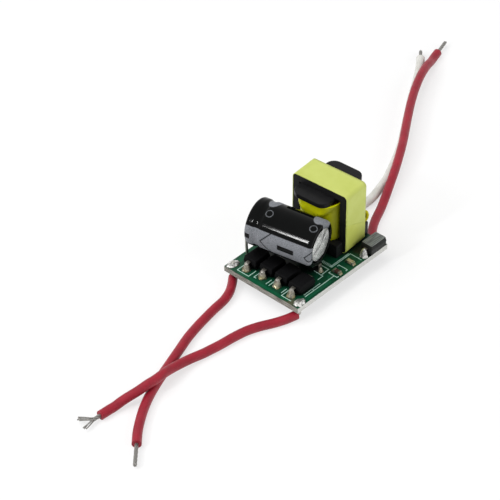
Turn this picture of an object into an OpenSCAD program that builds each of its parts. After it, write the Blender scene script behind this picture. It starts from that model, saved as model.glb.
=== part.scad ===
// Open-frame LED driver: a small mains power supply on one bare circuit board, with its four leads.
// Millimetres. The origin is under the middle of the board, on the surface that the pin tails stand on.
// +X runs from the mains input end to the LED output end, and +Z is up.

/* [Board] */
// Length of the circuit board, from the input end to the output end
board_l = 27; // [26.5:0.5:32]
// Width of the circuit board
board_w = 19.5; // [19:0.5:24]
// Thickness of the circuit board
board_t = 1.2; // [0.8:0.1:1.6]
// Height of the board's underside over the table, which is the length of the pin tails
standoff = 2.5; // [2.3:0.1:4]

/* [Diodes] */
// Length of a diode's moulded body
diode_l = 4.3; // [3.8:0.1:4.5]
// Width of a diode's moulded body
diode_w = 2.6; // [2.2:0.1:3]
// Height of a diode's top over the board
diode_h = 2.1; // [1.8:0.1:2.6]
// Draft of the moulded sides of diodes and the controller, at their top and bottom edges
draft = 0.15; // [0.05:0.01:0.2]
// Width of a diode's lead
lead_w = 0.85; // [0.8:0.05:1.6]
// Height of the top of a diode's lead over the board, where it leaves the body
lead_high = 1.7; // [1.2:0.05:1.75]
// Thickness of a diode's lead
lead_t = 0.22; // [0.15:0.01:0.3]
// Inner radius of the bends of a diode's lead
lead_bend = 0.13; // [0.08:0.01:0.2]
// How far a diode's lead stands out of the end of the body
lead_out = 0.7; // [0.4:0.05:0.8]
// Length of the lead's foot, which folds back under the body
lead_foot = 1.1; // [0.8:0.1:1.5]
// Distance between the bridge diodes
diode_pitch = 3.95; // [3.4:0.05:4.2]
// Middle of the outer bridge diodes, from the input edge
bridge_inset = 5.15; // [4.6:0.05:5.6]
// How far the two inner bridge diodes are set back
bridge_setback = 0.35; // [0:0.05:0.5]
// Middle of the row of bridge diodes, from the middle of the board
bridge_shift = -0.18; // [-0.5:0.02:0.2]
// Length of the output diode's moulded body
output_diode_l = 4.6; // [4:0.1:4.8]
// Width of the output diode's moulded body
output_diode_w = 2.9; // [2.4:0.1:2.9]
// Height of the output diode's top over the board
output_diode_h = 2.45; // [2:0.05:2.6]
// Middle of the output diode, from the board's side edge
output_diode_inset = 1.12; // [1:0.02:1.6]
// Middle of the snubber diode, from the board's side edge
snubber_inset = 7.2; // [6.6:0.05:8.5]
// Middle of the snubber diode, from the middle of the board along its length
snubber_x = -1.9; // [-2.2:0.1:-1.4]

/* [Capacitor] */
// Diameter of the capacitor over its sleeve
cap_d = 9.9; // [8:0.1:10.5]
// Length of the capacitor over its sleeve
cap_l = 14.8; // [12:0.1:15.5]
// Thickness of the sleeve
sleeve_t = 0.15; // [0.1:0.01:0.25]
// Rounding of the can's ends
can_round = 0.55; // [0.3:0.05:0.9]
// Wall of the can round the bung, inside the groove
can_wall = 0.2; // [0.15:0.05:0.4]
// Radius of the disc that the sleeve leaves bare at each end
bare_r = 3.5; // [2.8:0.1:3.7]
// Distance from the lead end to the middle of the crimped groove
groove_in = 2.6; // [2.2:0.1:3.5]
// Radius of the roller that crimped the groove
groove_r = 0.9; // [0.7:0.05:1.1]
// Depth of the crimped groove
groove_deep = 0.38; // [0.2:0.02:0.5]
// Thickness of the rubber bung
bung_t = 2.2; // [1.6:0.1:2.5]
// Depth of the bung's outer face inside the rim
bung_in = 0.3; // [0.1:0.05:0.5]
// Depth of the scored vent lines in the blind end
score_deep = 0.12; // [0.05:0.01:0.2]
// Width of the scored vent lines
score_w = 0.3; // [0.2:0.05:0.4]
// Length of the scored vent lines
score_l = 5.2; // [4:0.1:6]
// Turn of the capacitor on the board, in degrees
cap_turn = 12.3; // [6:0.1:14]
// Rise of the lead end, in degrees
cap_tilt = 1.7; // [0:0.1:2.5]
// Middle of the lead end, from the board's side edge
cap_end_inset = 1.05; // [0.9:0.05:1.8]
// Diameter of the capacitor's leads
cap_lead_d = 0.6; // [0.5:0.05:0.8]
// Distance between the capacitor's leads at the bung
cap_lead_pitch = 5; // [3.5:0.1:5.2]
// Turn of the line through both leads, in degrees
cap_lead_turn = 25; // [10:1:40]
// Length of the capacitor's leads outside the can, before they turn down
cap_lead_out = 0.75; // [0.6:0.05:1]
// Length of each bend of the capacitor's leads, to both sides of its corner
cap_lead_bend = 0.5; // [0.3:0.05:0.55]
// Depth of the capacitor's leads in the bung
cap_lead_seat = 1.2; // [0.6:0.1:1.4]
// Middle of the capacitor's lead holes, from the board's side edge
cap_hole_inset = 0.95; // [0.9:0.05:1.3]

/* [Transformer] */
// Width of the ferrite core
core_w = 13.2; // [12.6:0.1:13.8]
// Height of one core half
core_half_h = 6.95; // [6.4:0.05:7.4]
// Thickness of the ferrite core
core_t = 6.3; // [5.6:0.1:6.6]
// Thickness of the back of each core half
core_back = 1.4; // [1.3:0.1:1.8]
// Width of the core's outer legs
core_leg = 1.5; // [1.2:0.1:1.7]
// Width of the core's centre leg
core_centre = 2.9; // [2.4:0.1:3.2]
// Rounding of the core's outer corners
core_round = 0.75; // [0.4:0.05:1]
// Air gap in the centre leg
air_gap = 0.2; // [0.1:0.02:0.4]
// Gap between the board and the tape round the core
core_lift = 0.1; // [0.05:0.05:0.6]
// Thickness of the tape layers
tape_t = 0.15; // [0.1:0.01:0.2]
// Wall of the bobbin's tube
bobbin_wall = 0.5; // [0.4:0.05:0.7]
// Thickness of the bobbin's top flange
flange_t = 1.1; // [0.8:0.1:1.5]
// How far the top flange stands out of the core at both ends
flange_out = 3.2; // [2.4:0.1:3.4]
// Thickness of the bobbin's bottom flange
base_t = 1.2; // [0.9:0.1:1.6]
// Gap between the flanges and the core's outer legs
flange_gap = 0.55; // [0.1:0.05:0.8]
// Rounding of the flanges' corners
flange_round = 2; // [1.2:0.1:2.4]
// Thickness of the bobbin's pin rails
rail_t = 1.95; // [1.8:0.05:2.2]
// Width of the bobbin's pin rails
rail_w = 12; // [11.4:0.1:12.8]
// Width of the wire slots in the rails
slot_w = 0.7; // [0.4:0.05:0.9]
// Depth of the wire slots in the rails
slot_deep = 0.5; // [0.3:0.05:0.6]
// How far the winding stays inside the rails
winding_inset = 0.3; // [0.2:0.05:0.8]
// Rounding of the winding's corners
winding_round = 2.8; // [2:0.1:3.2]
// Height of the loose cuff of tape round the winding, under the top flange
cuff_h = 2; // [1:0.1:3]
// How far the cuff stays inside the top flange
cuff_inset = 0.35; // [0.2:0.05:0.8]
// Diameter of the transformer's pins
pin_d = 0.6; // [0.5:0.05:0.7]
// Distance between the pins of a row
pin_pitch = 2.5; // [2.2:0.1:2.6]
// Number of pins in a row
pin_count = 5; // [3:2:5]
// Depth of the pins in the rails
pin_seat = 1.8; // [1:0.1:2]
// Turn of the transformer on the board, in degrees
core_turn = 3.5; // [0:0.1:4]
// Middle of the transformer, from the output edge
core_inset = 5.5; // [5.4:0.1:6]
// Middle of the transformer, from the middle of the board
core_shift = 1.15; // [0.8:0.05:1.4]

/* [Chips] */
// Length of the chip capacitors
chip_l = 1.6; // [1.4:0.1:2]
// Width of the chip capacitors
chip_w = 0.85; // [0.8:0.05:1.25]
// Height of the chip capacitors
chip_h = 0.65; // [0.5:0.05:0.9]
// Length of the chip resistors
resistor_l = 3.2; // [2.6:0.1:3.4]
// Width of the chip resistors
resistor_w = 1.6; // [1.2:0.1:1.8]
// Height of the chip resistors
resistor_h = 0.6; // [0.4:0.05:0.8]
// Length of the metal end of a chip
chip_end = 0.35; // [0.25:0.05:0.5]
// How far the metal end stands proud of the ceramic, all round
chip_proud = 0.03; // [0.01:0.01:0.05]
// Reach of the solder at a chip's ends
chip_toe = 0.35; // [0.2:0.05:0.4]
// Share of a chip's height that its solder climbs
chip_wet = 0.8; // [0.5:0.05:0.9]
// Middle of the chip capacitors at the edge, from the board's side edge
chip_inset = 1.6; // [1.5:0.05:2.2]
// Middles of the chip capacitors at the edge, from the middle of the transformer
edge_chip_gaps = [8, 4]; // [3:0.05:8.5]
// Distance between the three chip resistors under the bridge diodes
resistor_pitch = 3.6; // [2.4:0.1:4.2]
// Distance from the controller to the chip capacitor beside it
under_chip_gap = 6.4; // [5.6:0.1:7]
// Middle of the controller, from the input edge
ic_inset = 10.9; // [10.5:0.1:12]
// Middle of the controller, from the middle of the board
ic_shift = 1.2; // [0:0.1:2]
// Length of the controller's moulded body
ic_l = 4.9; // [4.6:0.1:5.2]
// Width of the controller's moulded body
ic_w = 3.9; // [3.5:0.1:4.1]
// Height of the controller
ic_h = 1.5; // [1.2:0.1:1.7]
// Gap between the controller's body and the board
ic_lift = 0.15; // [0.1:0.05:0.2]
// Distance between the controller's leads
ic_pitch = 1.27; // [1:0.01:1.3]
// Width of a controller lead
ic_lead_w = 0.42; // [0.3:0.02:0.5]
// Thickness of a controller lead
ic_lead_t = 0.2; // [0.15:0.01:0.25]
// Reach of the controller's leads out of its body
ic_lead_out = 1.05; // [0.9:0.05:1.2]
// Length of the foot of a controller lead
ic_foot = 0.6; // [0.4:0.05:0.7]

/* [Solder and holes] */
// Reach of a solder joint round a pin
joint_reach = 0.6; // [0.4:0.05:0.7]
// Height of a solder joint round a pin
joint_h = 1.2; // [0.8:0.1:1.5]
// Height of the solder joints under the wire pads
pad_joint_h = 0.5; // [0.3:0.05:0.6]
// Reach of the solder in front of a diode's lead
toe = 0.65; // [0.3:0.05:0.7]
// Reach of the solder at the output diode's outer lead, up to the board's edge
output_toe = 0.15; // [0.1:0.05:0.3]
// Width of the solder at the foot of a diode's lead
toe_w = 2; // [1.6:0.1:2.4]
// Thickness of the thin edge of the solder
solder_edge = 0.05; // [0.03:0.01:0.08]
// Radius of the solder dome on an input pad
input_dome_r = 0.95; // [0.8:0.05:1]
// Radius of the solder dome on an output pad
output_dome_r = 0.8; // [0.7:0.05:0.9]
// Height of the solder domes on the wire pads
dome_h = 0.55; // [0.3:0.05:0.65]
// Room round a pin in its board hole
hole_room = 0.12; // [0.05:0.01:0.2]
// Gap of the close fits between pieces
fit = 0.02; // [0.01:0.01:0.05]
// Gap between the core and the bobbin
core_fit = 0.1; // [0.05:0.01:0.15]
// Gap between the capacitor and what it lies on
cap_gap = 0.05; // [0.04:0.01:0.2]
// Gap along the board between the winding and the furthest reach of the capacitor
cap_side_gap = 0.55; // [0.4:0.05:0.8]

/* [Wires] */
// Diameter of the wires over their insulation
wire_d = 1.9; // [1.4:0.05:1.9]
// Diameter of the tinned conductors
strand_d = 0.8; // [0.6:0.05:0.9]
// Bend of a conductor under its pad, at its middle line
tail_bend = 0.5; // [0.46:0.01:0.55]
// How far a conductor stands out of the solder on its pad
tail_out = 0.1; // [0.05:0.05:0.3]
// Length of the bare tip of the first input wire
input_tip_l = 5.6; // [4:0.1:7]
// Length of the bare tip of the second input wire, up to where its strands part
fray_from = 1.6; // [1:0.1:2.5]
// Length of each half of the parted strands
fray_l = 3.4; // [2:0.1:4.5]
// Diameter of each half of the parted strands
fray_d = 0.44; // [0.35:0.01:0.5]
// Turn of the first half from the wire's heading, in degrees
fray_turn_1 = -44; // [-60:1:-20]
// Turn of the second half from the wire's heading, in degrees
fray_turn_2 = 14; // [5:1:40]
// Length of the bare tip of the positive output wire
positive_tip_l = 4.6; // [3.5:0.1:6]
// Length of the bare tip of the negative output wire
negative_tip_l = 2.8; // [2:0.1:4]
// Middle of the input pads, from the input edge
input_pad_in = 1.6; // [1.4:0.1:1.8]
// Middle of the input pads, from the side edges
input_pad_side = 1; // [0.9:0.05:1.1]
// Middle of the output pads, from the output edge
output_pad_in = 1.2; // [1:0.05:1.3]
// Middle of the negative output pad, from its side edge
negative_pad_side = 0.9; // [0.85:0.05:1]
// Middle of the positive output pad, from its side edge
positive_pad_side = 3.35; // [3.25:0.05:3.5]

/* [Hidden] */
$fn = 48;
// Sides of a wire tube
wire_sides = 8;
// Sides of a capacitor lead, and steps of each of its bends
cap_lead_sides = 12;
bend_steps = 4;
// Steps of the hollow curve of a solder joint
solder_steps = 6;
// Clear space beyond a cut
over = 0.5;

board_top = standoff + board_t;
front_x = -board_l / 2;
rear_x = board_l / 2;
right_y = -board_w / 2;
left_y = board_w / 2;

// Lines of points: their direction at a point, a ring of corners round it, and bends eased by a curve
function unit(v) = v / norm(v);
function tangent(points, i) = unit(points[min(i + 1, len(points) - 1)] - points[max(i - 1, 0)]);
function ring(point, along, d, sides, across) =
    let (side = unit(cross(across, along)), up = cross(along, side))
    [for (k = [0 : sides - 1])
        let (a = (k + 0.5) * 360 / sides)
        point + d / 2 * (cos(a) * side + sin(a) * up)];
function eased(points, bend) = [
    points[0],
    for (i = [1 : len(points) - 2])
        let (before = points[i] + bend * unit(points[i - 1] - points[i]),
            after = points[i] + bend * unit(points[i + 1] - points[i]))
        for (k = [0 : bend_steps])
            let (t = k / bend_steps)
            (1 - t) * (1 - t) * before + 2 * t * (1 - t) * points[i] + t * t * after,
    points[len(points) - 1]];

// Diodes: the place of each one is its middle on the board, and the leads come out at the parting line
diode_low = lead_t + fit;
parting = lead_high - lead_t / 2;
lead_reach = diode_l / 2 + lead_out;
bend_r = lead_t + lead_bend;
bridge_count = 4;
function bridge_place(i) =
    let (setback = i == 2 || i == 3 ? bridge_setback : 0)
    [front_x + bridge_inset + setback, bridge_shift + (bridge_count / 2 + 0.5 - i) * diode_pitch];
output_diode_place = [rear_x - output_toe - lead_reach, right_y + output_diode_inset];
snubber_place = [snubber_x, right_y + snubber_inset];

// Transformer: its own frame has u along X and v along Y, from the middle of the core
core_x = rear_x - core_inset;
core_z = board_top + core_lift + tape_t + fit;
core_h = 2 * core_half_h;
rail_in = core_t / 2 + core_fit;
rail_out = rail_in + rail_t;
pin_row = rail_in + rail_t / 2;
tube_u = core_t / 2 + core_fit + bobbin_wall;
tube_v = core_centre / 2 + core_fit + bobbin_wall;
window_v = core_w / 2 - core_leg;
flange_u = core_t / 2 + flange_out;
flange_v = window_v - flange_gap;
window_low = core_z + core_back;
window_high = core_z + core_h - core_back;
base_low = window_low + core_fit;
base_top = base_low + base_t;
flange_low = window_high - core_fit - flange_t;
winding_u = rail_out - winding_inset;
winding_v = flange_v;
cuff_u = flange_u - cuff_inset;
pins = [for (row = [-1, 1], i = [0 : pin_count - 1]) [row * pin_row, (i - (pin_count - 1) / 2) * pin_pitch]];
slots = [for (row = [-1, 1], i = [1 : pin_count - 1]) [row * rail_out, (i - pin_count / 2) * pin_pitch]];
function on_board(uv) = [
    core_x + uv[0] * cos(core_turn) - uv[1] * sin(core_turn),
    core_shift + uv[0] * sin(core_turn) + uv[1] * cos(core_turn)];

// Capacitor: its own frame runs from the blind end up to the lead end, with x level and y down
sleeve_r = cap_d / 2;
can_r = sleeve_r - sleeve_t - fit;
can_low = sleeve_t + fit;
can_high = cap_l - sleeve_t - fit;
groove_at = [can_r + groove_r - groove_deep, cap_l - groove_in];
cap_reach = cap_l / 2 * sin(cap_turn) + sleeve_r * cos(cap_turn);
cap_middle = [
    core_x - winding_u - cap_side_gap - cap_reach,
    left_y - cap_end_inset - cap_l / 2 * cos(cap_turn),
    board_top + diode_h + cap_gap + sleeve_r + cap_l / 2 * sin(cap_tilt)];
function cap_point(p) =
    let (along = p[2] - cap_l / 2,
        level = along * cos(cap_tilt) + p[1] * sin(cap_tilt),
        rise = along * sin(cap_tilt) - p[1] * cos(cap_tilt))
    cap_middle + [
        p[0] * cos(cap_turn) - level * sin(cap_turn),
        p[0] * sin(cap_turn) + level * cos(cap_turn),
        rise];
bung_r = can_r - groove_deep - can_wall;
bung_low = can_high - bung_in - bung_t;
cap_leads = [for (side = [-1, 1])
    side * cap_lead_pitch / 2 * [cos(cap_lead_turn), -sin(cap_lead_turn)]];
function cap_hole(lead) =
    [cap_point([lead[0], lead[1], cap_l + cap_lead_out])[0], left_y - cap_hole_inset];
function cap_lead_points(lead) =
    let (seat = cap_point([lead[0], lead[1], bung_low + bung_t - cap_lead_seat + fit]),
        turn = cap_point([lead[0], lead[1], cap_l + cap_lead_out]),
        hole = cap_hole(lead))
    eased([seat, turn, [turn[0], turn[1], board_top + diode_h],
        [hole[0], hole[1], board_top + cap_lead_bend], [hole[0], hole[1], 0]], cap_lead_bend);

// Chips: those on top lie across the board at its side edge, and those below are given as x, y and turn
edge_chips = [for (gap = edge_chip_gaps) [core_x - gap, right_y + chip_inset, 90]];
under_chips = [[front_x + ic_inset, ic_shift - under_chip_gap, 0]];
under_resistors = [
    for (i = [1, 0, -1]) [front_x + bridge_inset, i * resistor_pitch, 0],
    [core_x, core_shift, 90]];
ic_place = [front_x + ic_inset, ic_shift, 90];
ic_mid = (ic_lift + ic_h) / 2;
ic_rows = [for (side = [0, 180], i = [-1.5 : 1 : 1.5]) [side, i * ic_pitch]];

// Wires: the pad of each one, and its route from there as [along X, along Y, lift over the table]
wire_pads = [
    [front_x + input_pad_in, left_y - input_pad_side],
    [front_x + input_pad_in, right_y + input_pad_side],
    [rear_x - output_pad_in, right_y + positive_pad_side],
    [rear_x - output_pad_in, left_y - negative_pad_side]];
dome_radii = [input_dome_r, input_dome_r, output_dome_r, output_dome_r];
wire_routes = [
    [[-0.48, -0.36, 0], [-2.4, -1.8, 0], [-4.6, -3.1, 0], [-7, -3.9, 0], [-10, -4.3, 0], [-13, -4.8, 0],
        [-16.5, -5.5, 0], [-20, -6.4, 0], [-23.5, -7.6, 0], [-27, -8.8, 0], [-30.5, -10, 0], [-34, -11.3, 0],
        [-37, -12.6, 0], [-40, -14.2, 0], [-42.5, -15.8, 0], [-45, -17.6, 0], [-47.5, -19.8, 0]],
    [[-0.6, 0.15, 0], [-2.8, 0.7, 0], [-5.5, 1.8, 0], [-8, 3.1, 0], [-10.6, 4.1, 0], [-13.6, 4.7, 0],
        [-17, 5.1, 0], [-20.5, 5.7, 0], [-24, 6.3, 0.3], [-27.5, 6.5, 0.8], [-30.5, 6.3, 1.45],
        [-33, 5.9, 1.95], [-35.5, 6, 1.95], [-38, 6.5, 1.4], [-41, 7.4, 0.6], [-43.8, 7.9, 0],
        [-46.6, 8.1, 0]],
    [[0.48, 0.36, 0], [3.2, 2.4, 0], [5.7, 4.2, 0], [8.2, 5.6, 0], [11.2, 6.9, 0], [14.7, 8.5, 0.35],
        [18.7, 10.4, 1.1], [22.7, 12.4, 1.6], [26.7, 14.6, 1.9], [30.7, 17, 1.95], [34.7, 19.6, 1.95],
        [38.7, 22.2, 1.95], [42.7, 24.7, 1.95], [46.7, 27, 1.95], [50.2, 28.8, 1.95], [53.7, 30.4, 1.7],
        [57.2, 31.9, 1], [60.7, 33.3, 0], [63.7, 34.2, 0]],
    [[0.6, -0.3, 0], [2.8, -1.4, 0], [5.2, -2.8, 0], [7.7, -4, 0], [10.4, -4.5, 0], [13.2, -4.4, 0],
        [16.2, -3.7, 0], [20.2, -2.5, 0], [24.2, -0.8, 0], [28.2, 1.1, 0], [32.2, 3.3, 0], [35.7, 5.5, 0],
        [39.2, 7.7, 0], [42.7, 9.9, 0], [46.2, 12.1, 0], [50.2, 14.4, 0], [54.2, 16.8, 0], [57.2, 18.7, 0],
        [59.4, 20.4, 0]]];
function wire_points(w) = [for (p = wire_routes[w])
    [wire_pads[w][0] + p[0], wire_pads[w][1] + p[1], wire_d / 2 + p[2]]];
function wire_end(w) = let (points = wire_points(w)) points[len(points) - 1];
function wire_heading(w) =
    let (points = wire_points(w), along = tangent(points, len(points) - 1))
    atan2(along[1], along[0]);

wire_names = ["input_wire_1", "input_wire_2", "output_wire_positive", "output_wire_negative"];
wire_colors = ["firebrick", "firebrick", "firebrick", "whitesmoke"];
tip_lengths = [input_tip_l, fray_from, positive_tip_l, negative_tip_l];
frayed_wire = 1;

// Rectangle with round corners, about its middle
module rounded(l, w, r) {
    square([l - 2 * r, w], center = true);
    square([l, w - 2 * r], center = true);
    for (x = [-1, 1], y = [-1, 1]) translate([x * (l / 2 - r), y * (w / 2 - r)]) circle(r);
}

// Round tube along a line of points: the corners of each ring are counted from the given direction
module tube(points, d, sides, across) {
    last = len(points) - 1;
    skin = [for (i = [0 : last]) each ring(points[i], tangent(points, i), d, sides, across)];
    walls = [for (i = [0 : last - 1], k = [0 : sides - 1])
        let (a = i * sides + k, b = i * sides + (k + 1) % sides)
        [a, a + sides, b + sides, b]];
    near_cap = [for (k = [0 : sides - 1]) k];
    far_cap = [for (k = [sides - 1 : -1 : 0]) last * sides + k];
    polyhedron(skin, concat(walls, [near_cap, far_cap]));
}

// Moulded block with drafted sides, widest in a band round its parting line
module moulded(l, w, low, high, line, band) {
    hull() {
        translate([0, 0, (low + high) / 2]) cube([l - 2 * draft, w - 2 * draft, high - low], center = true);
        translate([0, 0, line]) cube([l, w, band], center = true);
    }
}

// Section of a solder fillet: a hollow curve from a thin foot up to a thin edge
module fillet(reach, climb) {
    foot = reach - solder_edge;
    rise = climb - solder_edge;
    polygon(concat([[0, climb], [0, 0], [reach, 0]],
        [for (i = [0 : solder_steps])
            let (a = 270 - 90 * i / solder_steps)
            [reach + foot * cos(a), climb + rise * sin(a)]]));
}

// Places a child on the board, or upside down under it, at x, y and turn
module on_top(place) {
    translate([place[0], place[1], board_top]) rotate(place[2]) children();
}
module underneath(place) {
    translate([place[0], place[1], standoff]) rotate(place[2]) mirror([0, 0, 1]) children();
}

// Pieces of a diode in its own frame, with its length along X and the board at z = 0
module diode_body(l = diode_l, w = diode_w, h = diode_h) {
    moulded(l, w, diode_low, h, parting, lead_t);
}
module lead_section(l) {
    intersection() {
        difference() {
            translate([0, lead_high / 2]) rounded(2 * lead_reach, lead_high, bend_r);
            translate([0, lead_high / 2])
                rounded(2 * (lead_reach - lead_t), lead_high - 2 * lead_t, lead_bend);
        }
        union() {
            translate([l / 2, lead_high / 2]) square([lead_reach - l / 2, lead_high / 2]);
            translate([lead_reach - lead_foot, 0]) square([lead_foot, lead_high / 2]);
        }
    }
}
module diode_leads(l = diode_l) {
    for (turn = [0, 180]) rotate(turn) rotate([90, 0, 0])
        linear_extrude(lead_w, center = true) lead_section(l);
}
module diode_fillets(reaches) {
    climb = lead_high - bend_r;
    for (i = [0, 1]) rotate(180 * i) translate([lead_reach, 0, 0]) intersection() {
        rotate([90, 0, 0]) linear_extrude(toe_w, center = true) fillet(reaches[i], climb);
        rotate([90, 0, 90]) linear_extrude(reaches[i])
            polygon([[-toe_w / 2, 0], [toe_w / 2, 0], [lead_w / 2, climb], [-lead_w / 2, climb]]);
    }
}

// Pieces of a chip in its own frame, with its length along X and the board at z = 0
module chip_body(l, w, h) {
    translate([0, 0, h / 2])
        cube([l - 2 * chip_end, w - 2 * chip_proud, h - 2 * chip_proud], center = true);
}
module chip_caps(l, w, h) {
    for (side = [-1, 1]) translate([side * (l - chip_end) / 2, 0, h / 2])
        cube([chip_end, w, h], center = true);
}
module chip_fillets(l, w, h) {
    for (turn = [0, 180]) rotate(turn) translate([l / 2, 0, 0]) rotate([90, 0, 0])
        linear_extrude(w, center = true) fillet(chip_toe, chip_wet * h);
}

// Pieces of the controller in its own frame, with its leads out to both sides along X
module ic_lead_section() {
    translate([ic_w / 2, ic_mid - ic_lead_t / 2]) square([ic_lead_out - ic_foot, ic_lead_t]);
    translate([ic_w / 2 + ic_lead_out - ic_foot - ic_lead_t, 0]) square([ic_lead_t, ic_mid]);
    translate([ic_w / 2 + ic_lead_out - ic_foot, 0]) square([ic_foot, ic_lead_t]);
}

module circuit_board() {
    color("darkgreen") difference() {
        translate([0, 0, standoff]) linear_extrude(board_t) square([board_l, board_w], center = true);
        for (pin = pins) translate([each on_board(pin), 0])
            cylinder(h = board_top + over, d = pin_d + 2 * hole_room);
        for (lead = cap_leads) translate([each cap_hole(lead), 0])
            cylinder(h = board_top + over, d = cap_lead_d + 2 * hole_room);
        for (pad = wire_pads) translate([each pad, 0])
            cylinder(h = board_top + over, d = strand_d + 2 * hole_room);
    }
}

module bridge_diode(i) {
    color("dimgray") on_top([each bridge_place(i), 0]) diode_body();
}
module bridge_diode_leads(i) {
    color("silver") on_top([each bridge_place(i), 0]) diode_leads();
}
module output_diode() {
    color("gray") on_top([each output_diode_place, 0])
        diode_body(output_diode_l, output_diode_w, output_diode_h);
}
module output_diode_leads() {
    color("silver") on_top([each output_diode_place, 0]) diode_leads(output_diode_l);
}
module snubber_diode() {
    color("dimgray") on_top([each snubber_place, 90]) diode_body();
}
module snubber_diode_leads() {
    color("silver") on_top([each snubber_place, 90]) diode_leads();
}
module diode_solder() {
    color("lightgray") {
        for (i = [1 : bridge_count]) on_top([each bridge_place(i), 0]) diode_fillets([toe, toe]);
        on_top([each output_diode_place, 0]) diode_fillets([output_toe, toe]);
        on_top([each snubber_place, 90]) diode_fillets([toe, toe]);
    }
}

// Capacitor: turned profiles about its own axis
module in_capacitor() {
    translate(cap_middle) rotate([cap_tilt - 90, 0, cap_turn]) translate([0, 0, -cap_l / 2]) children();
}
module can_outline(r, low, high, corner, groove) {
    intersection() {
        difference() {
            translate([0, (low + high) / 2]) rounded(2 * r, high - low, corner);
            translate(groove_at) circle(groove);
        }
        square([r, cap_l]);
    }
}
module capacitor_can() {
    color("silver") in_capacitor() difference() {
        rotate_extrude() difference() {
            can_outline(can_r, can_low, can_high, can_round, groove_r);
            translate([0, bung_low]) square([bung_r + fit, cap_l]);
        }
        for (turn = [0, 90]) rotate(turn) translate([-score_l / 2, -score_w / 2, 0])
            cube([score_l, score_w, can_low + score_deep]);
    }
}
module capacitor_sleeve() {
    color("#202020") in_capacitor() rotate_extrude() difference() {
        can_outline(sleeve_r, 0, cap_l, can_round + sleeve_t, groove_r - fit - sleeve_t);
        can_outline(can_r + fit, sleeve_t, cap_l - sleeve_t, can_round, groove_r - fit);
        translate([0, -over]) square([bare_r, cap_l + 2 * over]);
    }
}
module capacitor_bung() {
    color("#303030") in_capacitor() difference() {
        translate([0, 0, bung_low]) cylinder(h = bung_t, r = bung_r);
        for (lead = cap_leads) translate([lead[0], lead[1], bung_low + bung_t - cap_lead_seat])
            cylinder(h = cap_l, d = cap_lead_d + 2 * fit);
    }
}
module capacitor_leads() {
    color("silver") for (lead = cap_leads) tube(cap_lead_points(lead), cap_lead_d, cap_lead_sides, [1, 0, 0]);
}

// Transformer: every piece in the frame of its core
module in_transformer() {
    translate([core_x, core_shift, 0]) rotate(core_turn) children();
}
module core_half() {
    rotate([90, 0, 90]) linear_extrude(core_t, center = true) difference() {
        translate([0, core_half_h]) rounded(core_w, core_h, core_round);
        translate([-core_w, core_half_h]) square([2 * core_w, core_h]);
        for (side = [-1, 1]) translate([side * (window_v + core_centre / 2) / 2, core_h / 2 + core_back])
            square([window_v - core_centre / 2, core_h], center = true);
        translate([-core_centre / 2 - over, core_half_h - air_gap / 2])
            square([core_centre + 2 * over, core_h]);
    }
}
module core_lower() {
    color("#3c3c3c") in_transformer() translate([0, 0, core_z]) core_half();
}
module core_upper() {
    color("#444444") in_transformer() translate([0, 0, core_z + core_h]) mirror([0, 0, 1]) core_half();
}
module bobbin() {
    color("#2a2a2a") in_transformer() difference() {
        union() {
            translate([0, 0, flange_low]) linear_extrude(flange_t)
                rounded(2 * flange_u, 2 * flange_v, flange_round);
            translate([0, 0, base_low]) linear_extrude(flange_low + flange_t - base_low)
                square([2 * tube_u, 2 * tube_v], center = true);
            translate([0, 0, base_low]) linear_extrude(base_t)
                square([2 * rail_out, 2 * flange_v], center = true);
            for (side = [-1, 1]) translate([side * pin_row, 0, board_top])
                linear_extrude(base_top - board_top) square([rail_t, rail_w], center = true);
        }
        linear_extrude(core_z + core_h + over)
            square([2 * (tube_u - bobbin_wall), 2 * (tube_v - bobbin_wall)], center = true);
        for (slot = slots) translate([slot[0], slot[1], board_top - over])
            linear_extrude(base_top - board_top + 2 * over)
                square([2 * slot_deep, slot_w], center = true);
        for (pin = pins) translate([each pin, 0])
            cylinder(h = board_top + pin_seat, d = pin_d + 2 * fit);
    }
}
module transformer_pins() {
    color("silver") for (pin = pins) translate([each on_board(pin), 0])
        cylinder(h = board_top + pin_seat - fit, d = pin_d);
}
module winding_ring(low, u, v, r, inner_u, inner_v, inner_r) {
    in_transformer() translate([0, 0, low])
        linear_extrude(flange_low - fit - low) difference() {
            rounded(2 * u, 2 * v, r);
            rounded(2 * inner_u, 2 * inner_v, inner_r);
        }
}
module copper_winding() {
    in_tape = tape_t + fit;
    color("peru") winding_ring(base_top + fit, winding_u - in_tape, winding_v - in_tape,
        winding_round - in_tape, tube_u + fit, tube_v + fit, fit);
}
module winding_tape() {
    color("gold") {
        winding_ring(base_top + fit, winding_u, winding_v, winding_round,
            winding_u - tape_t, winding_v - tape_t, winding_round - tape_t);
        winding_ring(flange_low - fit - cuff_h, cuff_u, winding_v, winding_round,
            winding_u - tape_t, winding_v - tape_t, winding_round - tape_t);
    }
}
module core_tape() {
    tape_in = fit;
    tape_out = fit + tape_t;
    color("khaki") in_transformer() translate([0, 0, core_z + core_half_h]) rotate([90, 0, 90])
        linear_extrude(core_t, center = true) difference() {
            rounded(core_w + 2 * tape_out, core_h + 2 * tape_out, core_round + tape_out);
            rounded(core_w + 2 * tape_in, core_h + 2 * tape_in, core_round + tape_in);
        }
}

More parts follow.
